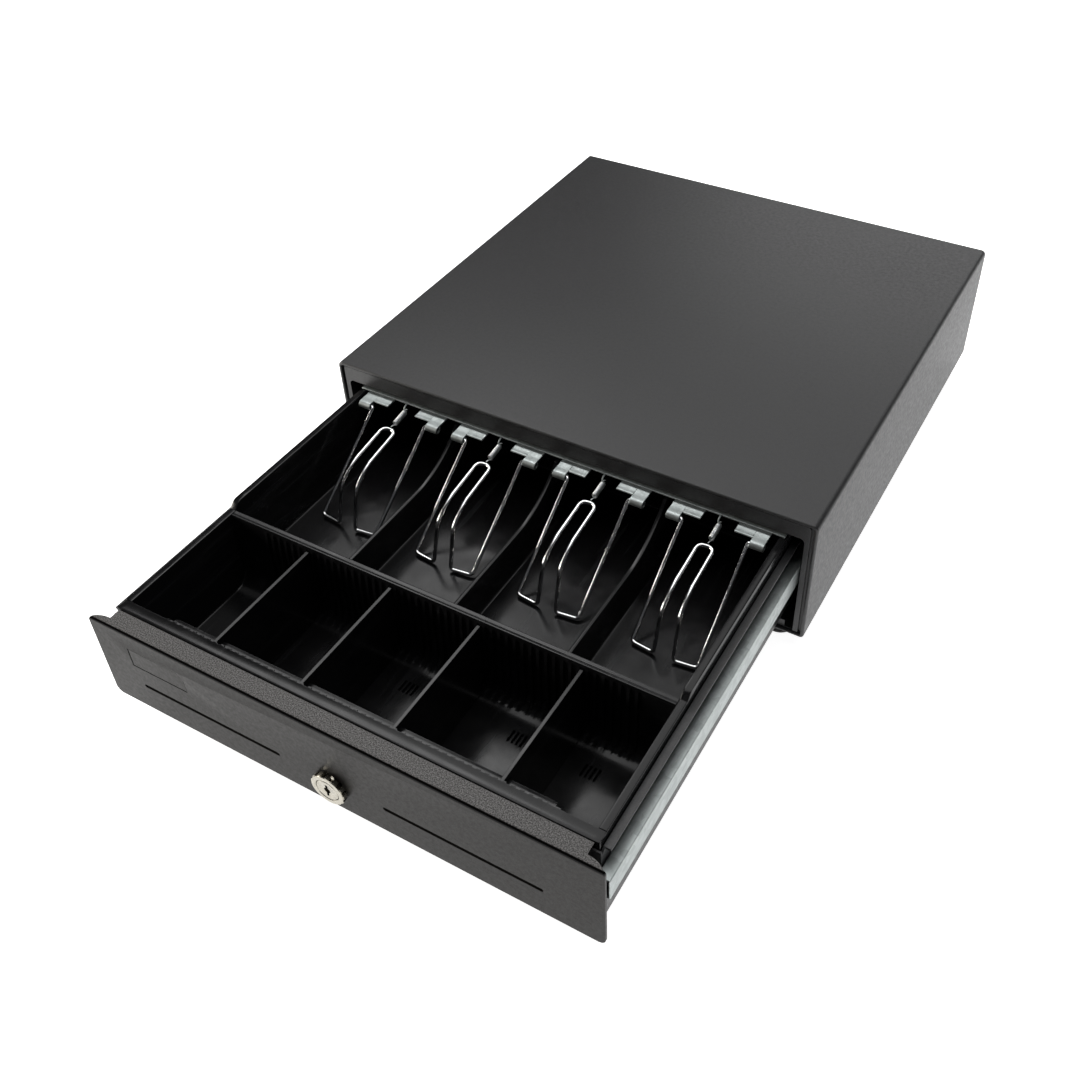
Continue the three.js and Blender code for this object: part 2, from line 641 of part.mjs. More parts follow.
function makeSolenoidFrame() {
  const { y, from, to } = SOLENOID;
  const base = box([from, to], [y - 8, y + 8], [3, 4.5]);
  const cheeks = [[from, from + 1.5], [to - 1.5, to]].map((span) => box(span, [y - 8, y + 8], [3, 31]));
  const hole = alongX(disc(y, SOLENOID.z, 4.5), from - 1, from + 3, 6);
  return cut(join(base, ...cheeks), hole);
}

function makeSolenoidCoil() {
  const { y, z, from, to } = SOLENOID;
  return alongX(ring(y, z, 7.6, 4.5), from + 1.8, to - 1.8, 8);
}

function makePlunger() {
  const { y, z } = SOLENOID;
  const rod = alongX(disc(y, z, 3.9), LATCH.x + 8, 8, 6);
  const blade = box([LATCH.x - 4, LATCH.x + 9], [y - 3, y + 3], [21.4, 23]);
  const pin = alongZ(disc(LATCH.x, y, 1.5), 17.5, 22, 5);
  return join(rod, blade, pin);
}

piece(housing, "solenoid_frame", makeSolenoidFrame(), zinc);
piece(housing, "solenoid_coil", makeSolenoidCoil(), coilTape);
piece(housing, "plunger", makePlunger(), nickel);

// ---- Ejector, drawer switch and socket ----

function makeEjectorHousing() {
  const { x, z } = EJECTOR;
  const tube = alongY(ring(x, z, 7, 4.6), 290, 325, 8);
  const stand = box([x - 6, x + 6], [294, 322], [3, z - 5.6]);
  return join(tube, stand);
}

function makeEjectorRod() {
  const { x, z, front } = EJECTOR;
  const head = alongY(disc(x, z, 6.5), front, front + 3.4, 6);
  const rod = alongY(disc(x, z, 4.1), front + 3, 318, 6);
  return join(head, rod);
}

function makeEjectorSpring() {
  const { x, z, front } = EJECTOR;
  return alongY(ring(x, z, 6, 4.5), front + 3.7, 289.6, 8);
}

function makeSwitchBody() {
  const { x, z } = SWITCH;
  const body = box([x - 10, x + 10], [276, 292], [3, 24]);
  const pocket = box([x - 3.4, x + 3.4], [275, 281.5], [z - 2.4, z + 2.4]);
  return cut(body, pocket);
}

function makeSwitchButton() {
  const { x, z, front } = SWITCH;
  return box([x - 3, x + 3], [front, 279.6], [z - 2, z + 2]);
}

function makeSocket() {
  const { x, z, half, cavity: reach } = SOCKET;
  const body = box([x - half, x + half], [311, 328.4], [z - half, z + half]);
  const cavity = box([x - reach, x + reach], [315, 330], [z - reach, z + reach]);
  const keyNotch = box([x - 2.2, x + 2.2], [315, 330], [z - 6, z - 4]);
  return cut(body, cavity, keyNotch);
}

piece(housing, "ejector_housing", makeEjectorHousing(), blackPlastic);
piece(housing, "ejector_rod", makeEjectorRod(), nylon);
piece(housing, "ejector_spring", makeEjectorSpring(), springSteel);
piece(housing, "switch_body", makeSwitchBody(), blackPlastic);
piece(housing, "switch_button", makeSwitchButton(), nylon);
piece(housing, "phone_socket", makeSocket(), blackPlastic);

export default cashDrawer;
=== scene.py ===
"""Looks of an under-counter cash drawer: a folded steel case, and an open drawer with its till insert.

Lengths here are millimetres in the case's own frame: x = 0 at its middle, y = 0 at its front
plane and z = 0 at its underside. at() turns them into metres in the row frame.
"""

import json
import math

import bmesh
import bpy
from mathutils import Matrix, Vector

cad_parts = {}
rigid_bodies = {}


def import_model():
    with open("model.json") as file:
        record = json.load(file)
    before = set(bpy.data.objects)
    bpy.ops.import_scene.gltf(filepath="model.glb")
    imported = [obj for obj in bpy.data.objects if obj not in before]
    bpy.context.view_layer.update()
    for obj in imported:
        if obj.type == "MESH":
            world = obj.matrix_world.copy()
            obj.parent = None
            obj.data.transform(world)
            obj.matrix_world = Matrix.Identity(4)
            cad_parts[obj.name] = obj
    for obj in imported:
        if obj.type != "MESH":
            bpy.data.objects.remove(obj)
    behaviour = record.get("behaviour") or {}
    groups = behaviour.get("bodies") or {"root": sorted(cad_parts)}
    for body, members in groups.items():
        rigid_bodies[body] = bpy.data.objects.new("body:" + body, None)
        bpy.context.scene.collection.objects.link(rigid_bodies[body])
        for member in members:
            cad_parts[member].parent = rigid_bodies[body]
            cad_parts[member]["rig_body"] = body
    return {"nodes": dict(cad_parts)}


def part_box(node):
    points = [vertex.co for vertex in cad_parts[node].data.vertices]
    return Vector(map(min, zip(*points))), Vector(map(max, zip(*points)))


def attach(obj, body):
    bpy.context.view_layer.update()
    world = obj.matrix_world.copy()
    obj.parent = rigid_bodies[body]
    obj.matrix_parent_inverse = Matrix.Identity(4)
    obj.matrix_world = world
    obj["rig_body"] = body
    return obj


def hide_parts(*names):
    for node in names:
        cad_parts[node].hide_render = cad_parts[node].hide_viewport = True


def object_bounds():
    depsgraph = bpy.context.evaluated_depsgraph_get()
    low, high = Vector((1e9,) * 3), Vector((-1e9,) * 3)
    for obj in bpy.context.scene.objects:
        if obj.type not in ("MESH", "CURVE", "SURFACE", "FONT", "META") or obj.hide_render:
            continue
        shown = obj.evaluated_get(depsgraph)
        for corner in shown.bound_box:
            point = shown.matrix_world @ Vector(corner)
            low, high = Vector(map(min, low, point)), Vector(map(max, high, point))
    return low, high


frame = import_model()
CAD_BOX = [list(corner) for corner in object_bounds()]
NODES = frame["nodes"]
CASE_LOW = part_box("case_shell")[0]
MM = 0.001
TAU = 2 * math.pi


def at(x, y, z):
    return Vector((x * MM, CASE_LOW.y + y * MM, CASE_LOW.z + z * MM))


def span(node):
    """A CAD node's box, back in the case's own millimetres."""
    low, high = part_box(node)
    origin = Vector((0, CASE_LOW.y, CASE_LOW.z))
    return (low - origin) / MM, (high - origin) / MM


# ---- Sizes ----

CASE_HALF = 165.0
CASE_DEPTH = 330.0
CASE_TOP = 90.0
SHEET = 1.2
PLATE_FRONT = -227.0
LOCK_X, LOCK_Z, LOCK_FRONT = -1.2, 25.6, -231.0
CLIP_X = (-109.5, -38.2, 34.4, 109.5)
COMB_PITCH = 4.8
DIVIDER_X = (-86.4, -28.8, 28.8, 91.2)
PULL_EDGE = 70.0
FOLD = 2.0
# Depths below the pull edge between which a change of the front's paint sets in:
FOLD_PAINTED_SHADE = (1.8, 1.5)  # the fold's glossier paint, with painted shade darkening its colour
EDGE_RUB_AND_HIGHLIGHT = (0.22, 0.08)  # the coarse, rubbed paint on top, lightened as a painted highlight


# ---- Materials ----

class Shader:
    """A Principled material whose colour, roughness and bump come from procedural textures."""

    def __init__(self, name, colour, rough, metallic=0.0, **sockets):
        self.material = bpy.data.materials.new(name)
        self.material.use_nodes = True
        self.tree = self.material.node_tree
        self.bsdf = self.tree.nodes["Principled BSDF"]
        self.bsdf.inputs["Base Color"].default_value = (*colour, 1)
        self.bsdf.inputs["Roughness"].default_value = rough
        self.bsdf.inputs["Metallic"].default_value = metallic
        for socket, value in sockets.items():
            self.bsdf.inputs[socket.replace("_", " ")].default_value = value
        self.place = self.node("ShaderNodeTexCoord").outputs["Object"]
        self.normal = None

    def node(self, kind, **inputs):
        made = self.tree.nodes.new(kind)
        for socket, value in inputs.items():
            self.feed(made.inputs[socket.replace("_", " ")], value)
        return made

    def feed(self, socket, value):
        if isinstance(value, bpy.types.NodeSocket):
            self.tree.links.new(value, socket)
        else:
            socket.default_value = value

    def stretched(self, scale):
        return self.node("ShaderNodeMapping", Vector=self.place, Scale=scale).outputs["Vector"]

    def noise(self, scale, detail=2.0, stretch=None):
        place = self.stretched(stretch) if stretch else self.place
        made = self.node("ShaderNodeTexNoise", Vector=place, Scale=scale, Detail=detail)
        return made.outputs["Fac"]

    def cells(self, scale):
        return self.node("ShaderNodeTexVoronoi", Vector=self.place, Scale=scale).outputs["Color"]

    def ranged(self, value, low, high, start=0.3, end=0.7):
        """low where the value is at start, high where it is at end, and even between."""
        made = self.node("ShaderNodeMapRange", Value=value)
        made.inputs["From Min"].default_value = start
        made.inputs["From Max"].default_value = end
        made.inputs["To Min"].default_value = low
        made.inputs["To Max"].default_value = high
        return made.outputs["Result"]

    def above(self, limits):
        """0 below the first of two heights, 1 above the second, both counted down from the pull edge."""
        height = self.node("ShaderNodeSeparateXYZ", Vector=self.place).outputs["Z"]
        start, end = (at(0, 0, PULL_EDGE - drop).z for drop in limits)
        return self.ranged(height, 0, 1, start, end)

    def combined(self, operation, first, second):
        made = self.node("ShaderNodeMath", Value=first)
        made.operation = operation
        self.feed(made.inputs[1], second)
        return made.outputs["Value"]

    def mixed(self, value, first, second):
        made = self.node("ShaderNodeMix")
        made.data_type = "RGBA"
        self.feed(made.inputs["Factor"], value)
        for socket, colour in ((made.inputs[6], first), (made.inputs[7], second)):
            self.feed(socket, colour if isinstance(colour, bpy.types.NodeSocket) else (*colour, 1))
        return made.outputs[2]

    def colour(self, socket):
        self.tree.links.new(socket, self.bsdf.inputs["Base Color"])

    def roughness(self, socket):
        self.tree.links.new(socket, self.bsdf.inputs["Roughness"])

    def bump(self, height, depth_mm):
        """Adds one layer of relief to those already there."""
        made = self.node("ShaderNodeBump", Height=height, Distance=depth_mm * MM, Strength=1.0)
        if self.normal:
            self.feed(made.inputs["Normal"], self.normal)
        self.normal = made.outputs["Normal"]
        self.tree.links.new(self.normal, self.bsdf.inputs["Normal"])


def powder_coat(name, dark, light, rough, grain_mm, peel_mm):
    """Baked powder paint: a fine stipple over a slow orange peel, a little uneven in tone."""
    s = Shader(name, dark, rough)
    grain = s.noise(1900, 3)
    tone = s.mixed(s.ranged(grain, 0, 1, 0.42, 0.72), dark, light)
    cloud = s.ranged(s.noise(9, 3), 0.0, 0.12)
    s.colour(s.mixed(cloud, tone, tuple(1.35 * v for v in light)))
    s.roughness(s.ranged(s.noise(420, 2), rough - 0.06, rough + 0.08))
    s.bump(s.noise(380, 2), peel_mm)
    s.bump(grain, grain_mm)
    return s.material


def front_coat(name, dark, light, edge_rub_highlight_dark, edge_rub_highlight_light, rough):
    """The front's paint: smooth and dark on the face; glossier round the fold, with painted shade darkening
    it there; and coarse, rubbed grey along the pull edge, made far lighter there as a painted highlight."""
    s = Shader(name, dark, rough, Specular_IOR_Level=0.11)
    edge = s.above(EDGE_RUB_AND_HIGHLIGHT)
    bend = s.above(FOLD_PAINTED_SHADE)
    grain = s.noise(1500, 3)
    face = s.mixed(s.ranged(s.noise(1900, 3), 0, 1, 0.42, 0.72), dark, light)
    # Painted shade: the fold band's colour is cut to 0.15 of the dark paint.
    face_with_painted_shade = s.mixed(bend, face, tuple(0.15 * v for v in dark))
    # Painted highlight: the pull edge's top face takes a far lighter grey than the face, over a coarse
    # rubbed grain.
    edge_rub_highlight = s.mixed(s.ranged(grain, 0, 1, 0.38, 0.68), edge_rub_highlight_dark, edge_rub_highlight_light)
    s.colour(s.mixed(edge, face_with_painted_shade, edge_rub_highlight))
    fold = s.combined("SUBTRACT", bend, edge)
    sheen = s.ranged(s.noise(420, 2), rough - 0.05, rough + 0.08)
    s.roughness(s.combined("MULTIPLY", sheen, s.ranged(fold, 1, 0.3, 0, 1)))
    s.bump(s.noise(380, 2), 0.006)
    s.bump(s.combined("MULTIPLY", grain, edge), 0.12)
    return s.material


def moulded_plastic(name, dark, light, rough, ripple_mm):
    """Moulded plastic: nearly even, with soft flow ripples and a few faint rub marks."""
    s = Shader(name, dark, rough, Specular_IOR_Level=0.3)
    rub = s.ranged(s.noise(130, 6, (1, 0.08, 1)), 0, 1, 0.55, 0.75)
    s.colour(s.mixed(rub, dark, light))
    s.roughness(s.ranged(s.noise(55, 5), rough - 0.05, rough + 0.1))
    s.bump(s.noise(28, 2), ripple_mm)
    s.bump(s.noise(2600, 2), 0.004)
    return s.material


def plated_sheet(name, dark, light, rough):
    """Zinc-plated sheet: faint spangle cells, and rolling marks along the drawer's travel."""
    s = Shader(name, light, rough, 0.85)
    spangle = s.cells(260)
    even = s.node("ShaderNodeRGBToBW", Color=spangle).outputs["Val"]
    rolled = s.noise(900, 4, (1, 0.02, 1))
    s.colour(s.mixed(s.ranged(even, 0.15, 0.85, 0.2, 0.8), dark, light))
    s.roughness(s.ranged(rolled, rough - 0.07, rough + 0.1))
    s.bump(rolled, 0.006)
    return s.material


def bright_metal(name, dark, light, rough):
    """Polished or drawn metal: small changes of tone and gloss, and fine handling scratches."""
    s = Shader(name, light, rough, 1.0)
    s.colour(s.mixed(s.ranged(s.noise(700, 4), 0, 1), dark, light))
    s.roughness(s.ranged(s.noise(280, 5), rough - 0.04, rough + 0.08))
    s.bump(s.noise(1400, 3), 0.003)
    return s.material


def rubber_like(name, dark, light, rough):
    """Moulded rubber: matt, with a fine grain."""
    s = Shader(name, dark, rough)
    s.colour(s.mixed(s.ranged(s.noise(800, 5), 0, 1), dark, light))
    s.roughness(s.ranged(s.noise(300, 3), rough - 0.08, rough + 0.05))
    s.bump(s.noise(1500, 3), 0.03)
    return s.material


def wound_tape(name, dark, light):
    """Varnished tape over a winding: bands along the coil."""
    s = Shader(name, dark, 0.4)
    wave = s.node("ShaderNodeTexWave", Vector=s.place, Scale=110.0, Distortion=0.6)
    s.colour(s.mixed(wave.outputs["Fac"], dark, light))
    s.roughness(s.ranged(s.noise(500), 0.3, 0.5))
    s.bump(wave.outputs["Fac"], 0.05)
    return s.material


def floor_paint(name):
    """A pale, lit floor: near white paint with hardly any change of tone."""
    s = Shader(name, (0.93, 0.93, 0.93), 0.7)
    s.colour(s.mixed(s.ranged(s.noise(3, 2), 0, 1), (0.92, 0.92, 0.92), (0.95, 0.95, 0.95)))
    s.bump(s.noise(200, 2), 0.02)
    s.bsdf.inputs["Emission Color"].default_value = (1, 1, 1, 1)
    s.bsdf.inputs["Emission Strength"].default_value = 0.92
    return s.material


LOOKS = {
    "case_paint": powder_coat("case_paint", (0.017, 0.017, 0.018), (0.034, 0.034, 0.035), 0.42, 0.022,
                              0.010),
    "front_paint": front_coat("front_paint", (0.012, 0.0112, 0.0105), (0.026, 0.0245, 0.023),
                              (0.05, 0.0485, 0.048), (0.225, 0.22, 0.217), 0.36),
    "till_plastic": moulded_plastic("till_plastic", (0.0065, 0.0065, 0.007), (0.018, 0.018, 0.019), 0.17,
                                    0.05),
    "zinc": plated_sheet("zinc", (0.32, 0.35, 0.345), (0.43, 0.465, 0.46), 0.42),
    "nickel": bright_metal("nickel", (0.38, 0.36, 0.305), (0.50, 0.475, 0.41), 0.24),
    "chrome_wire": bright_metal("chrome_wire", (0.72, 0.72, 0.73), (0.90, 0.90, 0.91), 0.11),
    "spring_steel": bright_metal("spring_steel", (0.60, 0.62, 0.63), (0.80, 0.82, 0.83), 0.32),
    "rubber": rubber_like("rubber", (0.010, 0.010, 0.010), (0.022, 0.022, 0.022), 0.8),
    "black_plastic": moulded_plastic("black_plastic", (0.012, 0.012, 0.012), (0.03, 0.03, 0.03), 0.45,
                                     0.03),
    "nylon": moulded_plastic("nylon", (0.55, 0.54, 0.50), (0.70, 0.69, 0.65), 0.42, 0.02),
    "coil_tape": wound_tape("coil_tape", (0.30, 0.15, 0.03), (0.52, 0.29, 0.07)),
}
RUBBED_STEEL = bright_metal("screw_steel", (0.35, 0.35, 0.36), (0.55, 0.55, 0.56), 0.33)
GOLD = bright_metal("contact_gold", (0.70, 0.50, 0.18), (0.85, 0.66, 0.28), 0.22)


# ---- Building pieces ----

def placed(mesh, name, slot, body, nodes=(), look=None, sharp=32):
    """Links a mesh as a piece: its look, its shading, the body it rides on and what it stands for."""
    mesh.materials.clear()
    mesh.materials.append(look or LOOKS[slot])
    mesh.polygons.foreach_set("material_index", [0] * len(mesh.polygons))
    mesh.shade_smooth()
    mesh.set_sharp_from_angle(angle=math.radians(sharp))
    piece = bpy.data.objects.new(name, mesh)
    bpy.context.scene.collection.objects.link(piece)
    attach(piece, body)
    if nodes:
        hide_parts(*nodes)
    return piece


def mesh_of(name, points, faces):
    """A mesh with its faces turned outwards, from points in the case's millimetres."""
    bm = bmesh.new()
    corners = [bm.verts.new(at(*p)) for p in points]
    for face in faces:
        if len(set(face)) > 2:
            bm.faces.new([corners[i] for i in dict.fromkeys(face)])
    bmesh.ops.remove_doubles(bm, verts=bm.verts, dist=1e-7)
    bmesh.ops.recalc_face_normals(bm, faces=bm.faces)
    mesh = bpy.data.meshes.new(name)
    bm.to_mesh(mesh)
    bm.free()
    return mesh


def softened(piece, width, segments, angle=30):
    """Rounds a piece's sharp edges."""
    bevel = piece.modifiers.new("edges", "BEVEL")
    bevel.width = width * MM
    bevel.segments = segments
    bevel.limit_method = "ANGLE"
    bevel.angle_limit = math.radians(angle)
    bevel.harden_normals = True


def grid(rows, close_rows=False, close_columns=False, caps=False):
    """Points and faces of a surface through rows of points, all the same length."""
    points = [p for row in rows for p in row]
    n, m = len(rows), len(rows[0])
    faces = []
    for i in range(n if close_rows else n - 1):
        for j in range(m if close_columns else m - 1):
            a, b = (i + 1) % n, (j + 1) % m
            faces.append([i * m + j, a * m + j, a * m + b, i * m + b])
    if caps:
        faces.append(list(range(m)))
        faces.append([(n - 1) * m + j for j in range(m)][::-1])
    return points, faces


def lathe(profile, origin, axis, sides, radius_at=None):
    """A closed (radius, distance) profile turned about an axis through origin: "x", "y" or "z"."""
    frames = {"x": ((0, 1, 0), (0, 0, 1), (1, 0, 0)), "y": ((1, 0, 0), (0, 0, 1), (0, 1, 0)),
              "z": ((1, 0, 0), (0, 1, 0), (0, 0, 1))}
    across, up, along = (Vector(v) for v in frames[axis])
    rows = []
    for i in range(sides):
        turn = TAU * i / sides
        row = []
        for r, d in profile:
            reach = radius_at(r, d, turn) if radius_at else r
            spot = Vector(origin) + (across * math.cos(turn) + up * math.sin(turn)) * reach + along * d
            row.append(tuple(spot))
        rows.append(row)
    return grid(rows, close_rows=True, close_columns=True)


def tube(path, radius, sides):
    """A round wire along a path of points, closed at both ends."""
    path = [Vector(p) for p in path]
    heading = (path[1] - path[0]).normalized()
    side = heading.orthogonal().normalized()
    rows = []
    for i, spot in enumerate(path):
        before, after = path[max(i - 1, 0)], path[min(i + 1, len(path) - 1)]
        ahead = (after - before).normalized()
        side = (heading.rotation_difference(ahead) @ side).normalized()
        side = (side - ahead * side.dot(ahead)).normalized()
        heading = ahead
        other = ahead.cross(side)
        ring = [spot + (side * math.cos(TAU * k / sides) + other * math.sin(TAU * k / sides)) * radius
                for k in range(sides)]
        rows.append([tuple(p) for p in ring])
    return grid(rows, close_columns=True, caps=True)


def bent_path(corners, radii, steps=9):
    """A path through corners, each rounded by a curve that starts its radius away."""
    corners = [Vector(c) for c in corners]
    path = [corners[0]]
    for i, radius in enumerate(radii):
        corner = corners[i + 1]
        into = corner + (corners[i] - corner).normalized() * radius
        out = corner + (corners[i + 2] - corner).normalized() * radius
        for k in range(steps + 1):
            t = k / steps
            path.append(into * (1 - t) ** 2 + corner * 2 * t * (1 - t) + out * t ** 2)
    path.append(corners[-1])
    return path


def helix(start, end, radius, turns, steps):
    """A coil's centre line between two points, with so many steps to a turn."""
    start, end = Vector(start), Vector(end)
    along = (end - start).normalized()
    side = along.orthogonal().normalized()
    other = along.cross(side)
    count = int(turns * steps)
    path = []
    for i in range(count + 1):
        turn = TAU * i / steps
        spot = start.lerp(end, i / count)
        path.append(spot + (side * math.cos(turn) + other * math.sin(turn)) * radius)
    return path


def joined(*parts):
    """Several (points, faces) as one, each still its own closed shell."""
    points, faces = [], []
    for more_points, more_faces in parts:
        shift = len(points)
        points += [tuple(p) for p in more_points]
        faces += [[i + shift for i in face] for face in more_faces]
    return points, faces


def block(xs, ys, zs):
    """The eight corners and six faces of a block, to cut with or to place as it is."""
    points = [(x, y, z) for x in xs for y in ys for z in zs]
    faces = [[0, 1, 3, 2], [4, 6, 7, 5], [0, 4, 5, 1], [2, 3, 7, 6], [0, 2, 6, 4], [1, 5, 7, 3]]
    return points, faces


def prism_x(section, x0, x1):
    """A (y, z) section drawn out along x."""
    rows = [[(x, y, z) for y, z in section] for x in (x0, x1)]
    return grid(rows, close_columns=True, caps=True)


def carved(mesh, *cutters):
    """The mesh with closed cutters taken away."""
    scratch = bpy.data.objects.new("scratch", mesh)
    bpy.context.scene.collection.objects.link(scratch)
    tools = []
    for points, faces in cutters:
        tool = bpy.data.objects.new("tool", mesh_of("tool", points, faces))
        bpy.context.scene.collection.objects.link(tool)
        cut = scratch.modifiers.new("cut", "BOOLEAN")
        cut.operation = "DIFFERENCE"
        cut.solver = "EXACT"
        cut.object = tool
        tools.append(tool)
    bpy.context.view_layer.update()
    seen = scratch.evaluated_get(bpy.context.evaluated_depsgraph_get())
    result = bpy.data.meshes.new_from_object(seen)
    for extra in (scratch, *tools):
        bpy.data.objects.remove(extra)
    return result


def cad_mesh(node):
    """A CAD node's mesh with its flat faces made whole, ready for its edges to be rounded."""
    bm = bmesh.new()
    bm.from_mesh(NODES[node].data)
    bmesh.ops.remove_doubles(bm, verts=bm.verts, dist=2e-6)
    bmesh.ops.dissolve_limit(bm, angle_limit=math.radians(1), verts=bm.verts, edges=bm.edges)
    mesh = bpy.data.meshes.new(node + "_finish")
    bm.to_mesh(mesh)
    bm.free()
    return mesh


def refined(node, slot, width, segments=2):
    """Stands for a CAD node: the same solid with rounded edges."""
    piece = placed(cad_mesh(node), node + "_finish", slot, NODES[node]["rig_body"], (node,))
    softened(piece, width, segments)


# ---- Case ----

TOP_RADIUS, FOOT_RADIUS, LEAST_RADIUS = 3.5, 2.4, 0.35
FLANGE_EDGE = 128.0


def case_ring(inset):
    """The case's wall line at a given inset from its outside: flange, side, top, side, flange."""
    steps = 8
    half, top = CASE_HALF - inset, CASE_TOP - inset
    r_top, r_foot = max(TOP_RADIUS - inset, LEAST_RADIUS), max(FOOT_RADIUS - inset, LEAST_RADIUS)
    side = []
    for k in range(steps + 1):
        a = math.pi / 2 * k / steps
        side.append((half - r_foot + r_foot * math.sin(a), inset + r_foot - r_foot * math.cos(a)))
    for k in range(steps + 1):
        a = math.pi / 2 * k / steps
        side.append((half - r_top + r_top * math.cos(a), top - r_top + r_top * math.sin(a)))
    right = [(FLANGE_EDGE, inset), *side]
    return right + [(-x, z) for x, z in reversed(right)]


def make_case_shell():
    """The cover, with its front edge folded back on itself. The flanges' inner edges stay plain."""
    section = [(CASE_DEPTH - 0.3, 0), (CASE_DEPTH, 0.3), (CASE_DEPTH, 0.9), (CASE_DEPTH - 0.3, SHEET),
               (8.6, SHEET), (8.4, 2.2), (8.2, 2.4)]
    for k in range(11):
        a = 1.5 * math.pi - math.pi * k / 10
        section.append((SHEET + SHEET * math.cos(a), SHEET - SHEET * math.sin(a)))
    rows = []
    for y, inset in section:
        ring, plain = case_ring(inset), case_ring(min(inset, SHEET))
        ring[0], ring[-1] = plain[0], plain[-1]
        rows.append([(x, y, z) for x, z in ring])
    points, faces = grid(rows, close_rows=True)
    m, n = len(rows[0]), len(rows)
    faces.append([i * m for i in range(n)])
    faces.append([i * m + m - 1 for i in range(n)][::-1])
    placed(mesh_of("case_cover", points, faces), "case_cover", "case_paint", "root", ("case_shell",))


def make_frame_return():
    """The strip behind the front frame that closes the groove round the opening."""
    outer, inner = case_ring(2.5), case_ring(6.4)
    front, rear, foot = 2.1, 3.3, 3.4
    keep = range(2, len(outer) - 2)
    rows = []
    for ring, y in ((outer, front), (outer, rear), (inner, rear), (inner, front)):
        rows.append([(ring[i][0], y, max(ring[i][1], foot)) for i in keep])
    points, faces = grid(rows, close_rows=True)
    m = len(rows[0])
    faces.append([i * m for i in range(4)])
    faces.append([i * m + m - 1 for i in range(4)][::-1])
    placed(mesh_of("frame_return", points, faces), "frame_return", "case_paint", "root")


def make_screw(name, spot, facing, radius=3.4):
    """A domed cross-head screw. facing is the direction its head looks along, as (axis, sign)."""
    axis, sign = facing
    profile = [(0.01, 0), (radius, 0)]
    for k in range(7):
        a = math.pi / 2 * k / 6
        profile.append((radius * math.cos(a) * 0.98 + 0.01, (0.4 + 1.5 * math.sin(a)) * sign))
    head = mesh_of(name, *lathe(profile, spot, axis, 32))
    depth = sorted((0.9 * sign, 3.0 * sign))
    slot_half, slot_reach = 0.42, 1.9
    arms = []
    for wide, tall in ((slot_half, slot_reach), (slot_reach, slot_half)):
        reach = {"x": (depth, (-wide, wide), (-tall, tall)), "y": ((-wide, wide), depth, (-tall, tall)),
                 "z": ((-wide, wide), (-tall, tall), depth)}[axis]
        arms.append(block(*[[c + d for d in pair] for c, pair in zip(spot, reach)]))
    piece = placed(carved(head, *arms), name, "zinc", "root", (), RUBBED_STEEL)
    softened(piece, 0.08, 1)


make_case_shell()
make_frame_return()
refined("front_frame", "case_paint", 0.5, 3)
refined("base_plate", "case_paint", 0.35)
refined("rear_panel", "case_paint", 0.35)

REAR_SCREWS = [(-152, 14), (-152, 78), (152, 14), (152, 78), (0, 82)]
REAR_FACE = 328.2
BASE_SCREWS = [(-146, 120), (146, 120), (-146, 210), (146, 210)]
for number, (x, z) in enumerate(REAR_SCREWS, 1):
    make_screw(f"rear_screw_{number}", (x, REAR_FACE, z), ("y", 1))
for number, (x, y) in enumerate(BASE_SCREWS, 1):
    make_screw(f"base_screw_{number}", (x, y, -0.02), ("z", -1), 3.0)


def make_foot(node):
    """A ribbed rubber foot with a screw down its hollow."""
    low, high = span(node)
    middle = (low + high) / 2
    recess = -5.4
    profile = [(0.01, recess), (1.9, recess), (2.3, -5.8), (4.4, -6.2), (5.2, -9.6), (5.7, -10), (8.6, -10),
               (9.4, -9.4)]
    for rib in range(4):
        top = -8.3 + 2.0 * rib
        profile += [(9.55, top - 0.35), (9.95, top), (9.95, top + 1.0), (9.55, top + 1.35)]
    profile += [(9.2, -0.35), (0.01, -0.35)]
    mesh = mesh_of(node + "_rubber", *lathe(profile, (middle.x, middle.y, 0), "z", 56))
    placed(mesh, node + "_rubber", "rubber", "root", (node,))
    make_screw(node + "_screw", (middle.x, middle.y, recess), ("z", -1))


for place in ("front_left", "front_right", "rear_left", "rear_right"):
    make_foot("foot_" + place)


# ---- Rails and rollers ----

def make_roller(node, pin_node):
    """A nylon roller with a groove beside its hub."""
    low, high = span(node)
    middle, radius = (low + high) / 2, (high.y - low.y) / 2
    half, hub = (high.x - low.x) / 2, 3.4
    profile = [(2.4, -half), (hub, -half), (hub + 0.2, -half + 0.7), (radius - 1.2, -half + 0.7),
               (radius - 0.9, -half), (radius - 0.25, -half), (radius, -half + 0.3)]
    profile += [(r, -d) for r, d in reversed(profile)]
    mesh = mesh_of(node + "_wheel", *lathe(profile, middle, "x", 56))
    placed(mesh, node + "_wheel", "nylon", NODES[node]["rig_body"], (node,))
    refined(pin_node, "zinc", 0.2)


for side in ("left", "right"):
    refined(f"case_rail_{side}", "zinc", 0.5, 3)
    refined(f"drawer_rail_{side}", "zinc", 0.55, 3)
    make_roller(f"front_roller_{side}", f"front_roller_pin_{side}")
    make_roller(f"rear_roller_{side}", f"rear_roller_pin_{side}")


# ---- Drawer tray and front ----

refined("drawer_tray", "case_paint", 0.45, 3)


def make_front():
    """The front plate, folded over a radius into its pull edge."""
    steps = 8
    corner = [(PLATE_FRONT - 1, PULL_EDGE + 1), (PLATE_FRONT - 1, PULL_EDGE - FOLD)]
    for k in range(steps + 1):
        turn = TAU / 4 * k / steps
        corner.append((PLATE_FRONT + FOLD * (1 - math.cos(turn)), PULL_EDGE - FOLD * (1 - math.sin(turn))))
    corner.append((PLATE_FRONT + FOLD, PULL_EDGE + 1))
    folded = carved(cad_mesh("front_plate"), prism_x(corner, -CASE_HALF, CASE_HALF))
    piece = placed(folded, "front_plate_finish", "front_paint", "drawer", ("front_plate",))
    softened(piece, 0.22, 2)


make_front()
refined("badge", "front_paint", 0.12, 2)


# ---- Lock ----

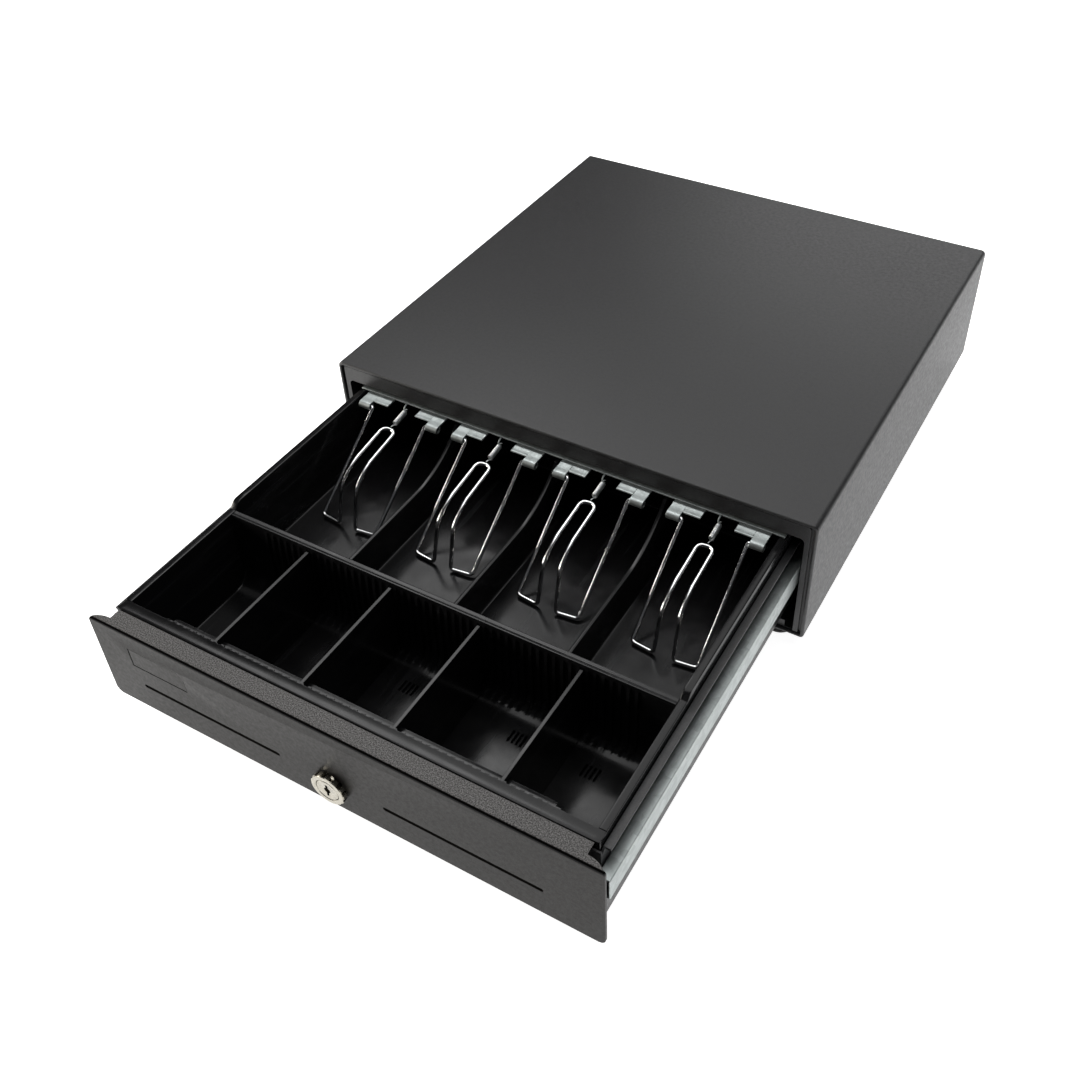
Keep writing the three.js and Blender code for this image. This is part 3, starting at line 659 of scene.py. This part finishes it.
def make_lock():
    """A round lock: behind its smooth face, thirteen notches are cut into the rim."""
    rim, face_edge, bore, neck, depth, rear = 10.4, 10.05, 7.2, 7.8, 3.4, 10.9
    lobes, groove = 13, 1.7

    def lobed(r, d, turn):
        if r < rim - 0.2 or d > depth:
            return r
        wave = 0.5 + 0.5 * math.cos(lobes * turn)
        return r - groove * min(1.0, max(0.0, 4 * (0.5 - wave)))

    profile = [(bore, 0.4), (bore + 0.25, 0.12), (8.8, 0.05), (9.65, 0), (9.95, 0.12), (face_edge, 0.4),
               (face_edge, 0.5), (rim, 0.55), (rim, depth - 0.3), (rim - 0.15, depth - 0.02),
               (neck, depth + 0.05), (neck, rear), (bore, rear)]
    origin = (LOCK_X, LOCK_FRONT, LOCK_Z)
    mesh = mesh_of("lock_body", *lathe(profile, origin, "y", 208, lobed))
    placed(mesh, "lock_body", "nickel", "drawer", ("lock_barrel",), None, 40)

    tail, tail_end = 3.0, 13.4
    plug = [(0.01, 0.3), (3.2, 0.3), (3.4, 0.2), (6.6, 0.2), (6.88, 0.45), (6.9, 11.1), (tail, 11.2),
            (tail, tail_end), (0.01, tail_end)]
    face = mesh_of("lock_plug", *lathe(plug, origin, "y", 72))
    key_half, key_reach, key_depth = 0.75, 4.4, 7
    keyway = block([LOCK_X - key_half, LOCK_X + key_half], [LOCK_FRONT - 1, LOCK_FRONT + key_depth],
                   [LOCK_Z - key_reach, LOCK_Z + key_reach])
    keyhole = lathe([(0.01, -1), (2.0, -1), (2.0, key_depth), (0.01, key_depth)], origin, "y", 32)
    piece = placed(carved(face, keyway, keyhole), "lock_plug", "nickel", "lock", ("lock_cylinder",))
    softened(piece, 0.1, 1)

    nub = lathe([(0.01, -2.4), (1.0, -2.4), (1.0, 0.1), (0.75, 0.65), (0.01, 0.9)],
                (LOCK_X + 3.6, LOCK_FRONT + 2.6, LOCK_Z + 10.8), "z", 20)
    placed(mesh_of("lock_index", *nub), "lock_index", "nickel", "drawer")
    ward = block([LOCK_X - 0.6, LOCK_X + 0.6], [LOCK_FRONT + 5, LOCK_FRONT + 6],
                 [LOCK_Z - 4.2, LOCK_Z + 4.2])
    softened(placed(mesh_of("lock_ward", *ward), "lock_ward", "nickel", "lock"), 0.1, 1)
    refined("lock_nut", "nickel", 0.3)
    refined("lock_cam", "zinc", 0.25)


make_lock()


# ---- Till insert ----

TILL_HALF, TILL_FRONT, TILL_REAR, TILL_FOOT = 148.0, -215.2, 36.0, 10.8
RIM, WALL_TOP = 70.5, 74.5
WELL_HALF = 143.6
WALL_DRAFT = 0.35
COIN_FLOOR, BILL_FLOOR = 18.0, 28.0
COIN_FILLET, BILL_FILLET, DIVIDER_FILLET = 1.8, 1.6, 1.4
LEDGE_TOP, LEDGE_EDGE, LEDGE_CHAMFER = 64.0, -201.8, 0.3
LEDGE_FULL, LEDGE_END, LEDGE_SLOTS = 118.0, 124.5, 124.0
SLOT_END = -206.0
COMB_FROM, COMB_TO = -121.5, 126.2
RIB_DEPTH, RIM_TOOTH = 1.4, 0.8
SLOT_HALF = 1.3
FLANK = 0.25
DRAIN_Y = (-157.0, -149.0)
DRAIN_X = (-112.0, -60.0, -8.0, 62.8, 107.5)
DRAIN_SLITS = (-3.9, -1.3, 1.3, 3.9)
DRAIN_DEPTH = 2.6
BILL_DIVIDERS = (-73.0, 0.0, 73.0)
DIVIDER_HALF, DIVIDER_FOOT, DIVIDER_REACH = 1.3, 1.6, 3.2
DIVIDER_LOW, DIVIDER_HIGH, DIVIDER_RISE = 53.0, 73.0, (-46.0, -2.0)


def curve(a, b, c, steps):
    """Points on a quadratic curve, without its first."""
    found = []
    for k in range(1, steps + 1):
        t = k / steps
        weights = ((1 - t) ** 2, 2 * t * (1 - t), t ** 2)
        found.append(tuple(p * weights[0] + q * weights[1] + r * weights[2] for p, q, r in zip(a, b, c)))
    return found


def cubic(values, t):
    """A cubic curve through four values, at t from 0 to 1."""
    a, b, c, d = values
    return a * (1 - t) ** 3 + 3 * b * t * (1 - t) ** 2 + 3 * c * t * t * (1 - t) + d * t ** 3


def divider_top(y):
    """How high the bill dividers stand: low along their front, curving up towards the rear."""
    start, end = DIVIDER_RISE
    if y <= start:
        return DIVIDER_LOW
    if y >= end:
        return DIVIDER_HIGH
    low, high = 0.0, 1.0
    for _ in range(40):
        t = (low + high) / 2
        here = cubic((start, start + 16, end - 7, end), t)
        low, high = (t, high) if here < y else (low, t)
    return cubic((DIVIDER_LOW, DIVIDER_LOW, 64, DIVIDER_HIGH), t)


def till_stations():
    """The till's section along y: (y, height where it is open, which part it belongs to)."""
    line = [(TILL_FRONT, TILL_FOOT, "skirt"), (TILL_FRONT, RIM - 0.7, "rim"),
            (TILL_FRONT + 0.2, RIM - 0.2, "rim"), (TILL_FRONT + 0.7, RIM, "rim"), (-213.6, RIM, "rim"),
            (-213.3, RIM - 0.45, "rim"), (-209.3, RIM - 0.5, "rim"), (-208.8, RIM - 0.2, "rim"),
            (-208.5, RIM - 0.2, "rim"), (-208.3, RIM - 0.6, "rim")]
    line += [(-208.1, LEDGE_TOP + 0.5, "front"), (-207.6, 50, "front"), (-207.3, 44, "front")]
    scoop = curve((-207.3, 44), (-205.8, 19), (-184.3, COIN_FLOOR), 16)
    scoop_line = [(y, z, "front" if y < LEDGE_EDGE else "floor") for y, z in scoop]
    for y in (LEDGE_EDGE - 0.25, LEDGE_EDGE):
        after = next(i for i, s in enumerate(scoop_line) if s[0] > y)
        (y0, z0, _), (y1, z1, _) = scoop_line[after - 1], scoop_line[after]
        z = z0 + (z1 - z0) * (y - y0) / (y1 - y0)
        scoop_line.insert(after, (y, z, "front" if y < LEDGE_EDGE - 0.1 else "foot"))
    line += scoop_line
    drain_from, drain_to = DRAIN_Y
    flat = (-175, -166, drain_from, drain_from + 0.2, drain_to - 0.2, drain_to, -143.4)
    line += [(y, COIN_FLOOR, "floor") for y in flat]
    line += [(y, z, "rear") for y, z in curve((-143.4, COIN_FLOOR), (-131.6, 18.4), (-131.0, 31), 9)]
    line += [(-130.8, 45, "rear"), (-130.6, 60, "rear"), (-130.5, 67.6, "rear"), (-130.45, 68.4, "ridge")]
    line += [(-130.3, RIM - 0.5, "ridge"), (-130.1, RIM - 0.15, "ridge"), (-129.6, RIM, "ridge"),
             (-128.9, RIM - 0.25, "ridge"), (-127.3, RIM - 0.25, "ridge"), (-126.6, RIM, "ridge"),
             (-126.1, RIM - 0.15, "ridge"), (-125.9, RIM - 0.5, "ridge")]
    line += [(-125.3, BILL_FLOOR + 2, "bill"), (-125.0, BILL_FLOOR + 0.9, "bill"),
             (-124.3, BILL_FLOOR + 0.25, "bill"), (-123.3, BILL_FLOOR, "bill")]
    along_rise = [-46 + 2 * k for k in range(23)]
    line += [(y, BILL_FLOOR, "bill") for y in (-121, -110, -95, -80, -65, -55, *along_rise, 10, 20, 31)]
    line += [(32.3, BILL_FLOOR + 0.25, "bill"), (33.0, BILL_FLOOR + 0.9, "bill"),
             (33.2, BILL_FLOOR + 2, "bill")]
    line += [(33.7, WALL_TOP - 0.5, "back"), (33.9, WALL_TOP - 0.15, "back"), (34.3, WALL_TOP, "back"),
             (35.4, WALL_TOP, "back"), (35.8, WALL_TOP - 0.2, "back"), (36.0, WALL_TOP - 0.7, "back"),
             (TILL_REAR, TILL_FOOT, "skirt")]
    return line


def drain_slits():
    """The middles in x of the slits in the coin bays' floors."""
    return [middle + offset for middle in DRAIN_X for offset in DRAIN_SLITS]


def till_columns():
    """The x of every column of the till's grid."""
    xs = set()
    for edge in (0, 0.2, 0.7, 3.6, 4.0, 4.25, 4.4, 4.7, 5.0, 5.4, 6.0, 6.6):
        xs |= {TILL_HALF - edge, edge - TILL_HALF}
    for middle in BILL_DIVIDERS:
        for reach in (0.75, 1.05, 1.2, 1.6, 1.8, 2.2, 3.0):
            xs |= {middle - reach, middle + reach}
    for k in range(-25, 27):
        for reach in (SLOT_HALF, SLOT_HALF + FLANK):
            xs |= {k * COMB_PITCH - reach, k * COMB_PITCH + reach}
    for slit in drain_slits():
        for reach in (0.55, 0.75):
            xs |= {slit - reach, slit + reach}
    ordered = []
    for x in sorted(round(x, 3) for x in xs):
        if not ordered or x - ordered[-1] > 0.06:
            ordered.append(x)
    return ordered


def fillet(distance, radius):
    """How far a rounded foot rises above the floor, at a distance from its wall."""
    if distance >= radius:
        return 0.0
    return radius - math.sqrt(max(0.0, radius * radius - (radius - distance) ** 2))


def on_rib(x):
    """Whether a column lies on one of the comb's ribs rather than in a slot for a divider."""
    if not COMB_FROM < x < COMB_TO:
        return False
    off = abs(x - COMB_PITCH * round(x / COMB_PITCH))
    return off > SLOT_HALF + 0.5 * FLANK


def rib_depth(z):
    """How far a rear rib stands out at a height: it swells from the floor and thins near its top."""
    swell = min(1.0, max(0.0, (z - 19) / 8))
    taper = 1 - 0.55 * max(0.0, (z - 60) / 7.6)
    return RIB_DEPTH * swell * taper


def in_drain(x, y):
    """Whether a point of the coin bays' floor is inside one of the slits."""
    if not DRAIN_Y[0] + 0.1 < y < DRAIN_Y[1] - 0.1:
        return False
    return any(abs(x - slit) < 0.6 for slit in drain_slits())


def side_rim(y):
    """The side walls' height: the coin end is lower, with a curved step up to the bill end."""
    start, run = -126.3, 4
    if y < start:
        return RIM
    if y > start + run:
        return WALL_TOP
    t = 1 - math.sqrt(max(0.0, 1 - (y - start) / run))
    return RIM + (WALL_TOP - RIM) * (1 - (1 - t) ** 2)


def on_ledge(x, y):
    """Whether a point is on the front ledge, between its cut-back ends and outside the comb's slots."""
    cut_back = abs(x) > LEDGE_FULL and y > -206.6 + (LEDGE_END - abs(x)) * 0.75
    in_slot = not on_rib(x) and y < SLOT_END and abs(x) < LEDGE_SLOTS
    return abs(x) <= LEDGE_END and not cut_back and not in_slot


def till_point(x, station):
    """Where the till's surface is at a column x, for one station of its section: (y, z)."""
    y, open_z, part = station
    inward = WELL_HALF - abs(x)
    outer_drop = {0.0: 0.7, 0.2: 0.2}.get(round(TILL_HALF - abs(x), 1), 0.0)
    if part == "skirt":
        return y, open_z
    if part == "rim":
        tooth = RIM_TOOTH if y > -208.6 and on_rib(x) and abs(x) < LEDGE_FULL else 0.0
        return y + tooth, open_z - outer_drop
    wall = side_rim(y) - outer_drop
    if part == "back":
        return y, open_z - outer_drop
    if inward <= 0.05:
        lip = 0.0 if inward < -0.25 else (0.15 if inward < -0.1 else 0.5)
        return y, wall - lip
    if part in ("front", "foot", "floor", "rear"):
        rise = fillet(inward - WALL_DRAFT, COIN_FILLET)
        if part == "front" and on_ledge(x, y):
            chamfer = LEDGE_CHAMFER if y > LEDGE_EDGE - 0.4 else 0
            return y, max(open_z, LEDGE_TOP - chamfer)
        if part == "rear" and on_rib(x):
            return y - rib_depth(open_z), open_z + rise
        if in_drain(x, y):
            return y, open_z - DRAIN_DEPTH
        return y, open_z + rise
    if part == "ridge":
        return y, open_z
    for middle in BILL_DIVIDERS:
        off = abs(x - middle)
        if off < DIVIDER_HALF:
            crown = {0.8: 0.0, 1.0: 0.12, 1.1: 0.12, 1.2: 0.5}.get(round(off, 1), 0.0)
            high = divider_top(y) - crown
            return y, min(high, open_z if y < -125.2 or y > 33.1 else high)
        if off < DIVIDER_REACH:
            return y, max(open_z, BILL_FLOOR + fillet(off - DIVIDER_FOOT, DIVIDER_FILLET))
    return y, max(open_z, BILL_FLOOR + fillet(inward - WALL_DRAFT, BILL_FILLET))


def make_till():
    """The whole insert as one moulding: coin well, ridge and bill compartments."""
    stations, columns = till_stations(), till_columns()
    rows = [[(x, *till_point(x, station)) for station in stations] for x in columns]
    points, faces = grid(rows)
    m, n = len(stations), len(columns)
    faces.append(list(range(m)))
    faces.append([(n - 1) * m + j for j in range(m)][::-1])
    faces.append([i * m for i in range(n)] + [i * m + m - 1 for i in range(n)][::-1])
    mesh = mesh_of("till_moulding", points, faces)
    placed(mesh, "till_moulding", "till_plastic", "drawer", ("till_tray",), None, 38)


def make_coin_divider(number, x):
    """A thin plate that slides into the comb; its foot clears the front ledge."""
    half, top = 1.0, 68.0
    step, clear = LEDGE_EDGE + 0.35, 0.35
    floor = COIN_FLOOR + 0.4
    edge = [(-207.9, top - 0.6), (-207.9, LEDGE_TOP + 0.7), (-207.6, LEDGE_TOP + clear),
            (step, LEDGE_TOP + clear), (step, 40)]
    edge += curve((step, 40), (-199.0, 18.8), (-183.9, floor), 10)
    edge += [(-143.8, floor)]
    edge += curve((-143.8, floor), (-132.0, 18.8), (-131.4, 31), 8)
    edge += [(-130.9, top - 0.6), (-131.5, top), (-207.3, top)]
    name = f"coin_divider_{number}"
    mesh = mesh_of(name + "_plate", *prism_x(edge, x - half, x + half))
    piece = placed(mesh, name + "_plate", "till_plastic", NODES[name]["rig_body"], (name,))
    softened(piece, 0.3, 3)


make_till()
for number, x in enumerate(DIVIDER_X, 1):
    make_coin_divider(number, x)


# ---- Clip bracket, bill clips and springs ----

HINGE_Y, HINGE_Z = -12.0, 73.4
BRACKET_BOTTOM = 74.8
TAB_FROM, TAB_TO, TAB_FRONT, CURL_FROM = 10.5, 30.0, -9.0, 21.6


def tab_section(with_curl):
    """A tab's outline in (y, z): its flat, a pressed bead, and the curl round the wire."""
    t = SHEET
    top, low = BRACKET_BOTTOM + t, BRACKET_BOTTOM
    upper = [(-1.0, top), (-3.2, top), (-3.8, top + 0.35), (-4.6, top + 0.35), (-5.2, top)]
    if not with_curl:
        radius = t / 2
        nose = []
        for k in range(7):
            a = math.pi / 2 + math.pi * k / 6
            nose.append((TAB_FRONT + 0.1 + radius * math.cos(a), low + radius + radius * math.sin(a)))
        return upper + [(TAB_FRONT + 1, top)] + nose + [(-1.0, low)]
    outer, inner, steps = 2.6, 1.5, 26
    turns = [math.pi / 2 + math.radians(285) * k / steps for k in range(steps + 1)]
    rise = top - (HINGE_Z + outer)
    upper += [(HINGE_Y + 2.4, top), (HINGE_Y + 1.0, top - rise * 0.5)]
    curl = [(HINGE_Y + outer * math.cos(a), HINGE_Z + outer * math.sin(a)) for a in turns]
    back = [(HINGE_Y + inner * math.cos(a), HINGE_Z + inner * math.sin(a)) for a in reversed(turns)]
    return upper + curl + back + [(HINGE_Y + 2.2, low - 0.05), (-6, low), (-1.0, low)]


def make_bracket():
    """The folded strip that carries the clips: a bar, and two tabs at each clip."""
    half, front, rear, top = 147, -1.0, 12.0, BRACKET_BOTTOM + SHEET
    bar = [(front, BRACKET_BOTTOM), (rear, BRACKET_BOTTOM), (rear, top), (front, top)]
    mesh = mesh_of("bracket_bar", *prism_x(bar, -half, half))
    piece = placed(mesh, "bracket_bar", "zinc", "drawer", ("clip_bracket",))
    softened(piece, 0.4, 3)
    shells = []
    for middle in CLIP_X:
        for sign in (-1, 1):
            plain = sorted((middle + sign * TAB_FROM, middle + sign * CURL_FROM))
            curled = sorted((middle + sign * (CURL_FROM + 0.02), middle + sign * TAB_TO))
            shells.append(prism_x(tab_section(False), *plain))
            shells.append(prism_x(tab_section(True), *curled))
    tabs = placed(mesh_of("bracket_tabs", *joined(*shells)), "bracket_tabs", "zinc", "drawer")
    softened(tabs, 0.18, 2, 50)
    hooks = []
    for middle in CLIP_X:
        beside = middle - 1.4
        path = bent_path([(beside, -0.4, 75.4), (beside, -3.2, 75.3), (beside, -5.0, 73.4),
                          (middle + 0.6, -5.0, 72.2)], [1.2, 1.2], 7)
        hooks.append(tube(path, 0.55, 10))
    placed(mesh_of("spring_hooks", *joined(*hooks)), "spring_hooks", "zinc", "drawer")


def clip_path():
    """A bill clip's wire: out of one tab, down to the notes, up the middle and back the same way."""
    half = [(27.8, HINGE_Y, HINGE_Z), (20.3, HINGE_Y, HINGE_Z), (20.3, -73, 30), (6, -74.5, 29.8),
            (5.4, -67, 57), (5, -54, 65.5), (4.8, -22.5, 70.4)]
    radii = [1.6, 2.6, 2.6, 5, 5, 4.4]
    corners = half + [(-x, y, z) for x, y, z in reversed(half)]
    return bent_path(corners, radii + radii[::-1])


def make_clips():
    """One bent wire for each bill clip."""
    for number, middle in enumerate(CLIP_X, 1):
        path = [p + Vector((middle, 0, 0)) for p in clip_path()]
        name = f"bill_clip_{number}"
        mesh = mesh_of(name + "_wire", *tube(path, 1.2, 16))
        placed(mesh, name + "_wire", "chrome_wire", NODES[name]["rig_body"], (name,))


def make_clip_springs():
    """A close-wound extension spring with a hook at each end."""
    wire, radius = 0.32, 1.55
    slope = math.atan2(2.6, 19)
    for number, middle in enumerate(CLIP_X, 1):
        name = f"clip_spring_{number}"

        def spot(along, dx=0.0, dz=0.0):
            drop = (2.2 + along) * math.sin(slope)
            return (middle + dx, -5.7 - along * math.cos(slope), 72.8 - drop + dz)

        coil = tube(helix(spot(0.3), spot(11.2), radius, 16.5, 16), wire, 8)
        front = [spot(11.0, radius), spot(12.3, 1.2, 0.2), spot(13.6, 0.5, 0.9), spot(15.4, 0.0, 1.0)]
        rear = [spot(0.4, -radius), spot(-0.8, -1.1, 0.2), spot(-1.9, -0.4, 0.5), spot(-2.6, 0.2, 0.0)]
        hook_a = tube(bent_path(front, [0.8, 0.8], 5), wire, 8)
        hook_b = tube(bent_path(rear, [0.6, 0.6], 5), wire, 8)
        mesh = mesh_of(name + "_coil", *joined(coil, hook_a, hook_b))
        placed(mesh, name + "_coil", "spring_steel", NODES[name]["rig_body"], (name,))


make_bracket()
make_clips()
make_clip_springs()


# ---- Latch, solenoid, ejector, switch and socket ----

def make_coil_spring(node, start, end, radius, turns, extra=()):
    """An open-wound spring between two points, with any extra legs of the same wire."""
    wire = 0.55
    shells = [tube(helix(start, end, radius, turns, 20), wire, 10)]
    shells += [tube(path, wire, 10) for path in extra]
    mesh = mesh_of(node + "_wire", *joined(*shells))
    placed(mesh, node + "_wire", "spring_steel", NODES[node]["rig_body"], (node,))


refined("striker", "zinc", 0.25)
refined("latch_lever", "zinc", 0.3)
refined("latch_pin", "zinc", 0.25)
LATCH_SPRING_LEG = [(-46.4, 306, 14.0), (-46.6, 300, 14.0), (-46.7, 288.4, 14.0)]
make_coil_spring("latch_spring", (-40, 306, 8.6), (-40, 306, 14.6), 6.4, 4.5, [LATCH_SPRING_LEG])
refined("solenoid_frame", "zinc", 0.3)
refined("plunger", "nickel", 0.25)


def make_solenoid_coil():
    """The winding between two end flanges."""
    bore, flange, winding, ridge, rounds = 4.5, 7.6, 6.9, 0.22, 29
    half, inside, wound = 20.1, 18.9, 18.2
    profile = [(bore, -half), (flange, -half), (flange, -inside), (winding, -inside + 0.2)]
    for k in range(rounds + 1):
        profile.append((winding + ridge * (k % 2), wound * (2 * k / rounds - 1)))
    profile += [(winding, inside - 0.2), (flange, inside), (flange, half), (bore, half)]
    mesh = mesh_of("solenoid_winding", *lathe(profile, (-4, 318, 19.5), "x", 48))
    placed(mesh, "solenoid_winding", "coil_tape", "root", ("solenoid_coil",))


make_solenoid_coil()
refined("ejector_housing", "black_plastic", 0.35)
refined("ejector_rod", "nylon", 0.5, 3)
make_coil_spring("ejector_spring", (60, 276.6, 22), (60, 289.3, 22), 5.2, 5.5)
refined("switch_body", "black_plastic", 0.4)
refined("switch_button", "nylon", 0.4)
refined("phone_socket", "black_plastic", 0.25)


def make_contacts():
    """Six sprung contact wires inside the socket."""
    middle, pitch, count = -73, 1.02, 6
    wires = []
    for k in range(count):
        x = middle + pitch * (k - (count - 1) / 2)
        path = [(x, 315.2, 30.9), (x, 322, 30.6), (x, 324.5, 28.4), (x, 318, 26.6)]
        wires.append(tube(bent_path(path, [1, 1.2], 5), 0.2, 8))
    placed(mesh_of("socket_contacts", *joined(*wires)), "socket_contacts", "nickel", "root", (), GOLD)


make_contacts()


# ---- Floor, lights and camera ----

def make_floor():
    """A flat floor under the feet, 24 m across in squares of 1 m."""
    half = 12
    level = CAD_BOX[0][2]
    rows = [[(x, y, level) for y in range(-half, half + 1)] for x in range(-half, half + 1)]
    points, faces = grid(rows)
    mesh = bpy.data.meshes.new("floor")
    mesh.from_pydata(points, [], faces)
    mesh.materials.append(floor_paint("floor_paint"))
    floor = bpy.data.objects.new("floor", mesh)
    bpy.context.scene.collection.objects.link(floor)


def softbox(name, spot, target, size, power, colour=(1, 1, 1)):
    """A rectangular studio light at a spot, turned to its target. Lengths here are metres."""
    data = bpy.data.lights.new(name, "AREA")
    data.shape = "RECTANGLE"
    data.size, data.size_y = size
    data.energy = power
    data.color = colour
    light = bpy.data.objects.new(name, data)
    light.location = spot
    light.rotation_euler = (Vector(target) - Vector(spot)).to_track_quat("-Z", "Y").to_euler()
    bpy.context.scene.collection.objects.link(light)


CAMERA_SPOT = (295.623, -471.947, 544.025)
CAMERA_AZIMUTH, CAMERA_ELEVATION, CAMERA_ROLL = 30.281, 40.683, -1.281
FOCAL_LENGTH = 40.247
CAMERA_SHIFT = (-0.04344, -0.06667)


def make_camera():
    """The camera looks from the front right and above."""
    azimuth, elevation = math.radians(CAMERA_AZIMUTH), math.radians(CAMERA_ELEVATION)
    roll = math.radians(CAMERA_ROLL)
    back = Vector((math.sin(azimuth) * math.cos(elevation), -math.cos(azimuth) * math.cos(elevation),
                   math.sin(elevation)))
    right = Vector((0, 0, 1)).cross(back).normalized()
    up = back.cross(right)
    tilted_right = right * math.cos(roll) + up * math.sin(roll)
    tilted_up = up * math.cos(roll) - right * math.sin(roll)
    data = bpy.data.cameras.new("camera")
    data.sensor_width = 36.0
    data.lens = FOCAL_LENGTH
    data.shift_x, data.shift_y = CAMERA_SHIFT
    data.clip_start, data.clip_end = 0.01, 50
    camera = bpy.data.objects.new("camera", data)
    turn = Matrix((tilted_right, tilted_up, back)).transposed().to_4x4()
    camera.matrix_world = Matrix.Translation(at(*CAMERA_SPOT)) @ turn
    bpy.context.scene.collection.objects.link(camera)
    bpy.context.scene.camera = camera


def make_world():
    """A dim world behind the studio lights, which the camera itself sees as a plain pale backdrop."""
    world = bpy.data.worlds.new("studio")
    world.use_nodes = True
    tree = world.node_tree
    dim = tree.nodes["Background"]
    dim.inputs["Color"].default_value = (0.93, 0.95, 1.0, 1)
    dim.inputs["Strength"].default_value = 0.05
    backdrop = tree.nodes.new("ShaderNodeBackground")
    backdrop.inputs["Color"].default_value = (1, 1, 1, 1)
    backdrop.inputs["Strength"].default_value = 0.96
    chosen = tree.nodes.new("ShaderNodeMixShader")
    seen = tree.nodes.new("ShaderNodeLightPath").outputs["Is Camera Ray"]
    tree.links.new(seen, chosen.inputs[0])
    tree.links.new(dim.outputs[0], chosen.inputs[1])
    tree.links.new(backdrop.outputs[0], chosen.inputs[2])
    tree.links.new(chosen.outputs[0], tree.nodes["World Output"].inputs["Surface"])
    bpy.context.scene.world = world


def make_lights():
    """Soft boxes: the last argument before the colour is the power in watts."""
    softbox("overhead", (-0.2, 0.3, 2.2), (0, 0, 0), (2.2, 2.2), 27)
    softbox("rear", (0.1, 2.0, 1.2), (0, 0, 0), (2.0, 0.8), 11)
    softbox("high_left", (-0.9, 0.6, 1.6), (0, -0.1, 0), (0.8, 0.8), 6)
    softbox("left_low", (-1.6, -0.7, 0.5), (-0.1, -0.25, 0), (0.8, 0.6), 22, (1.0, 0.95, 0.88))


bpy.context.scene.view_settings.view_transform = "Standard"
make_floor()
make_world()
make_lights()
make_camera()
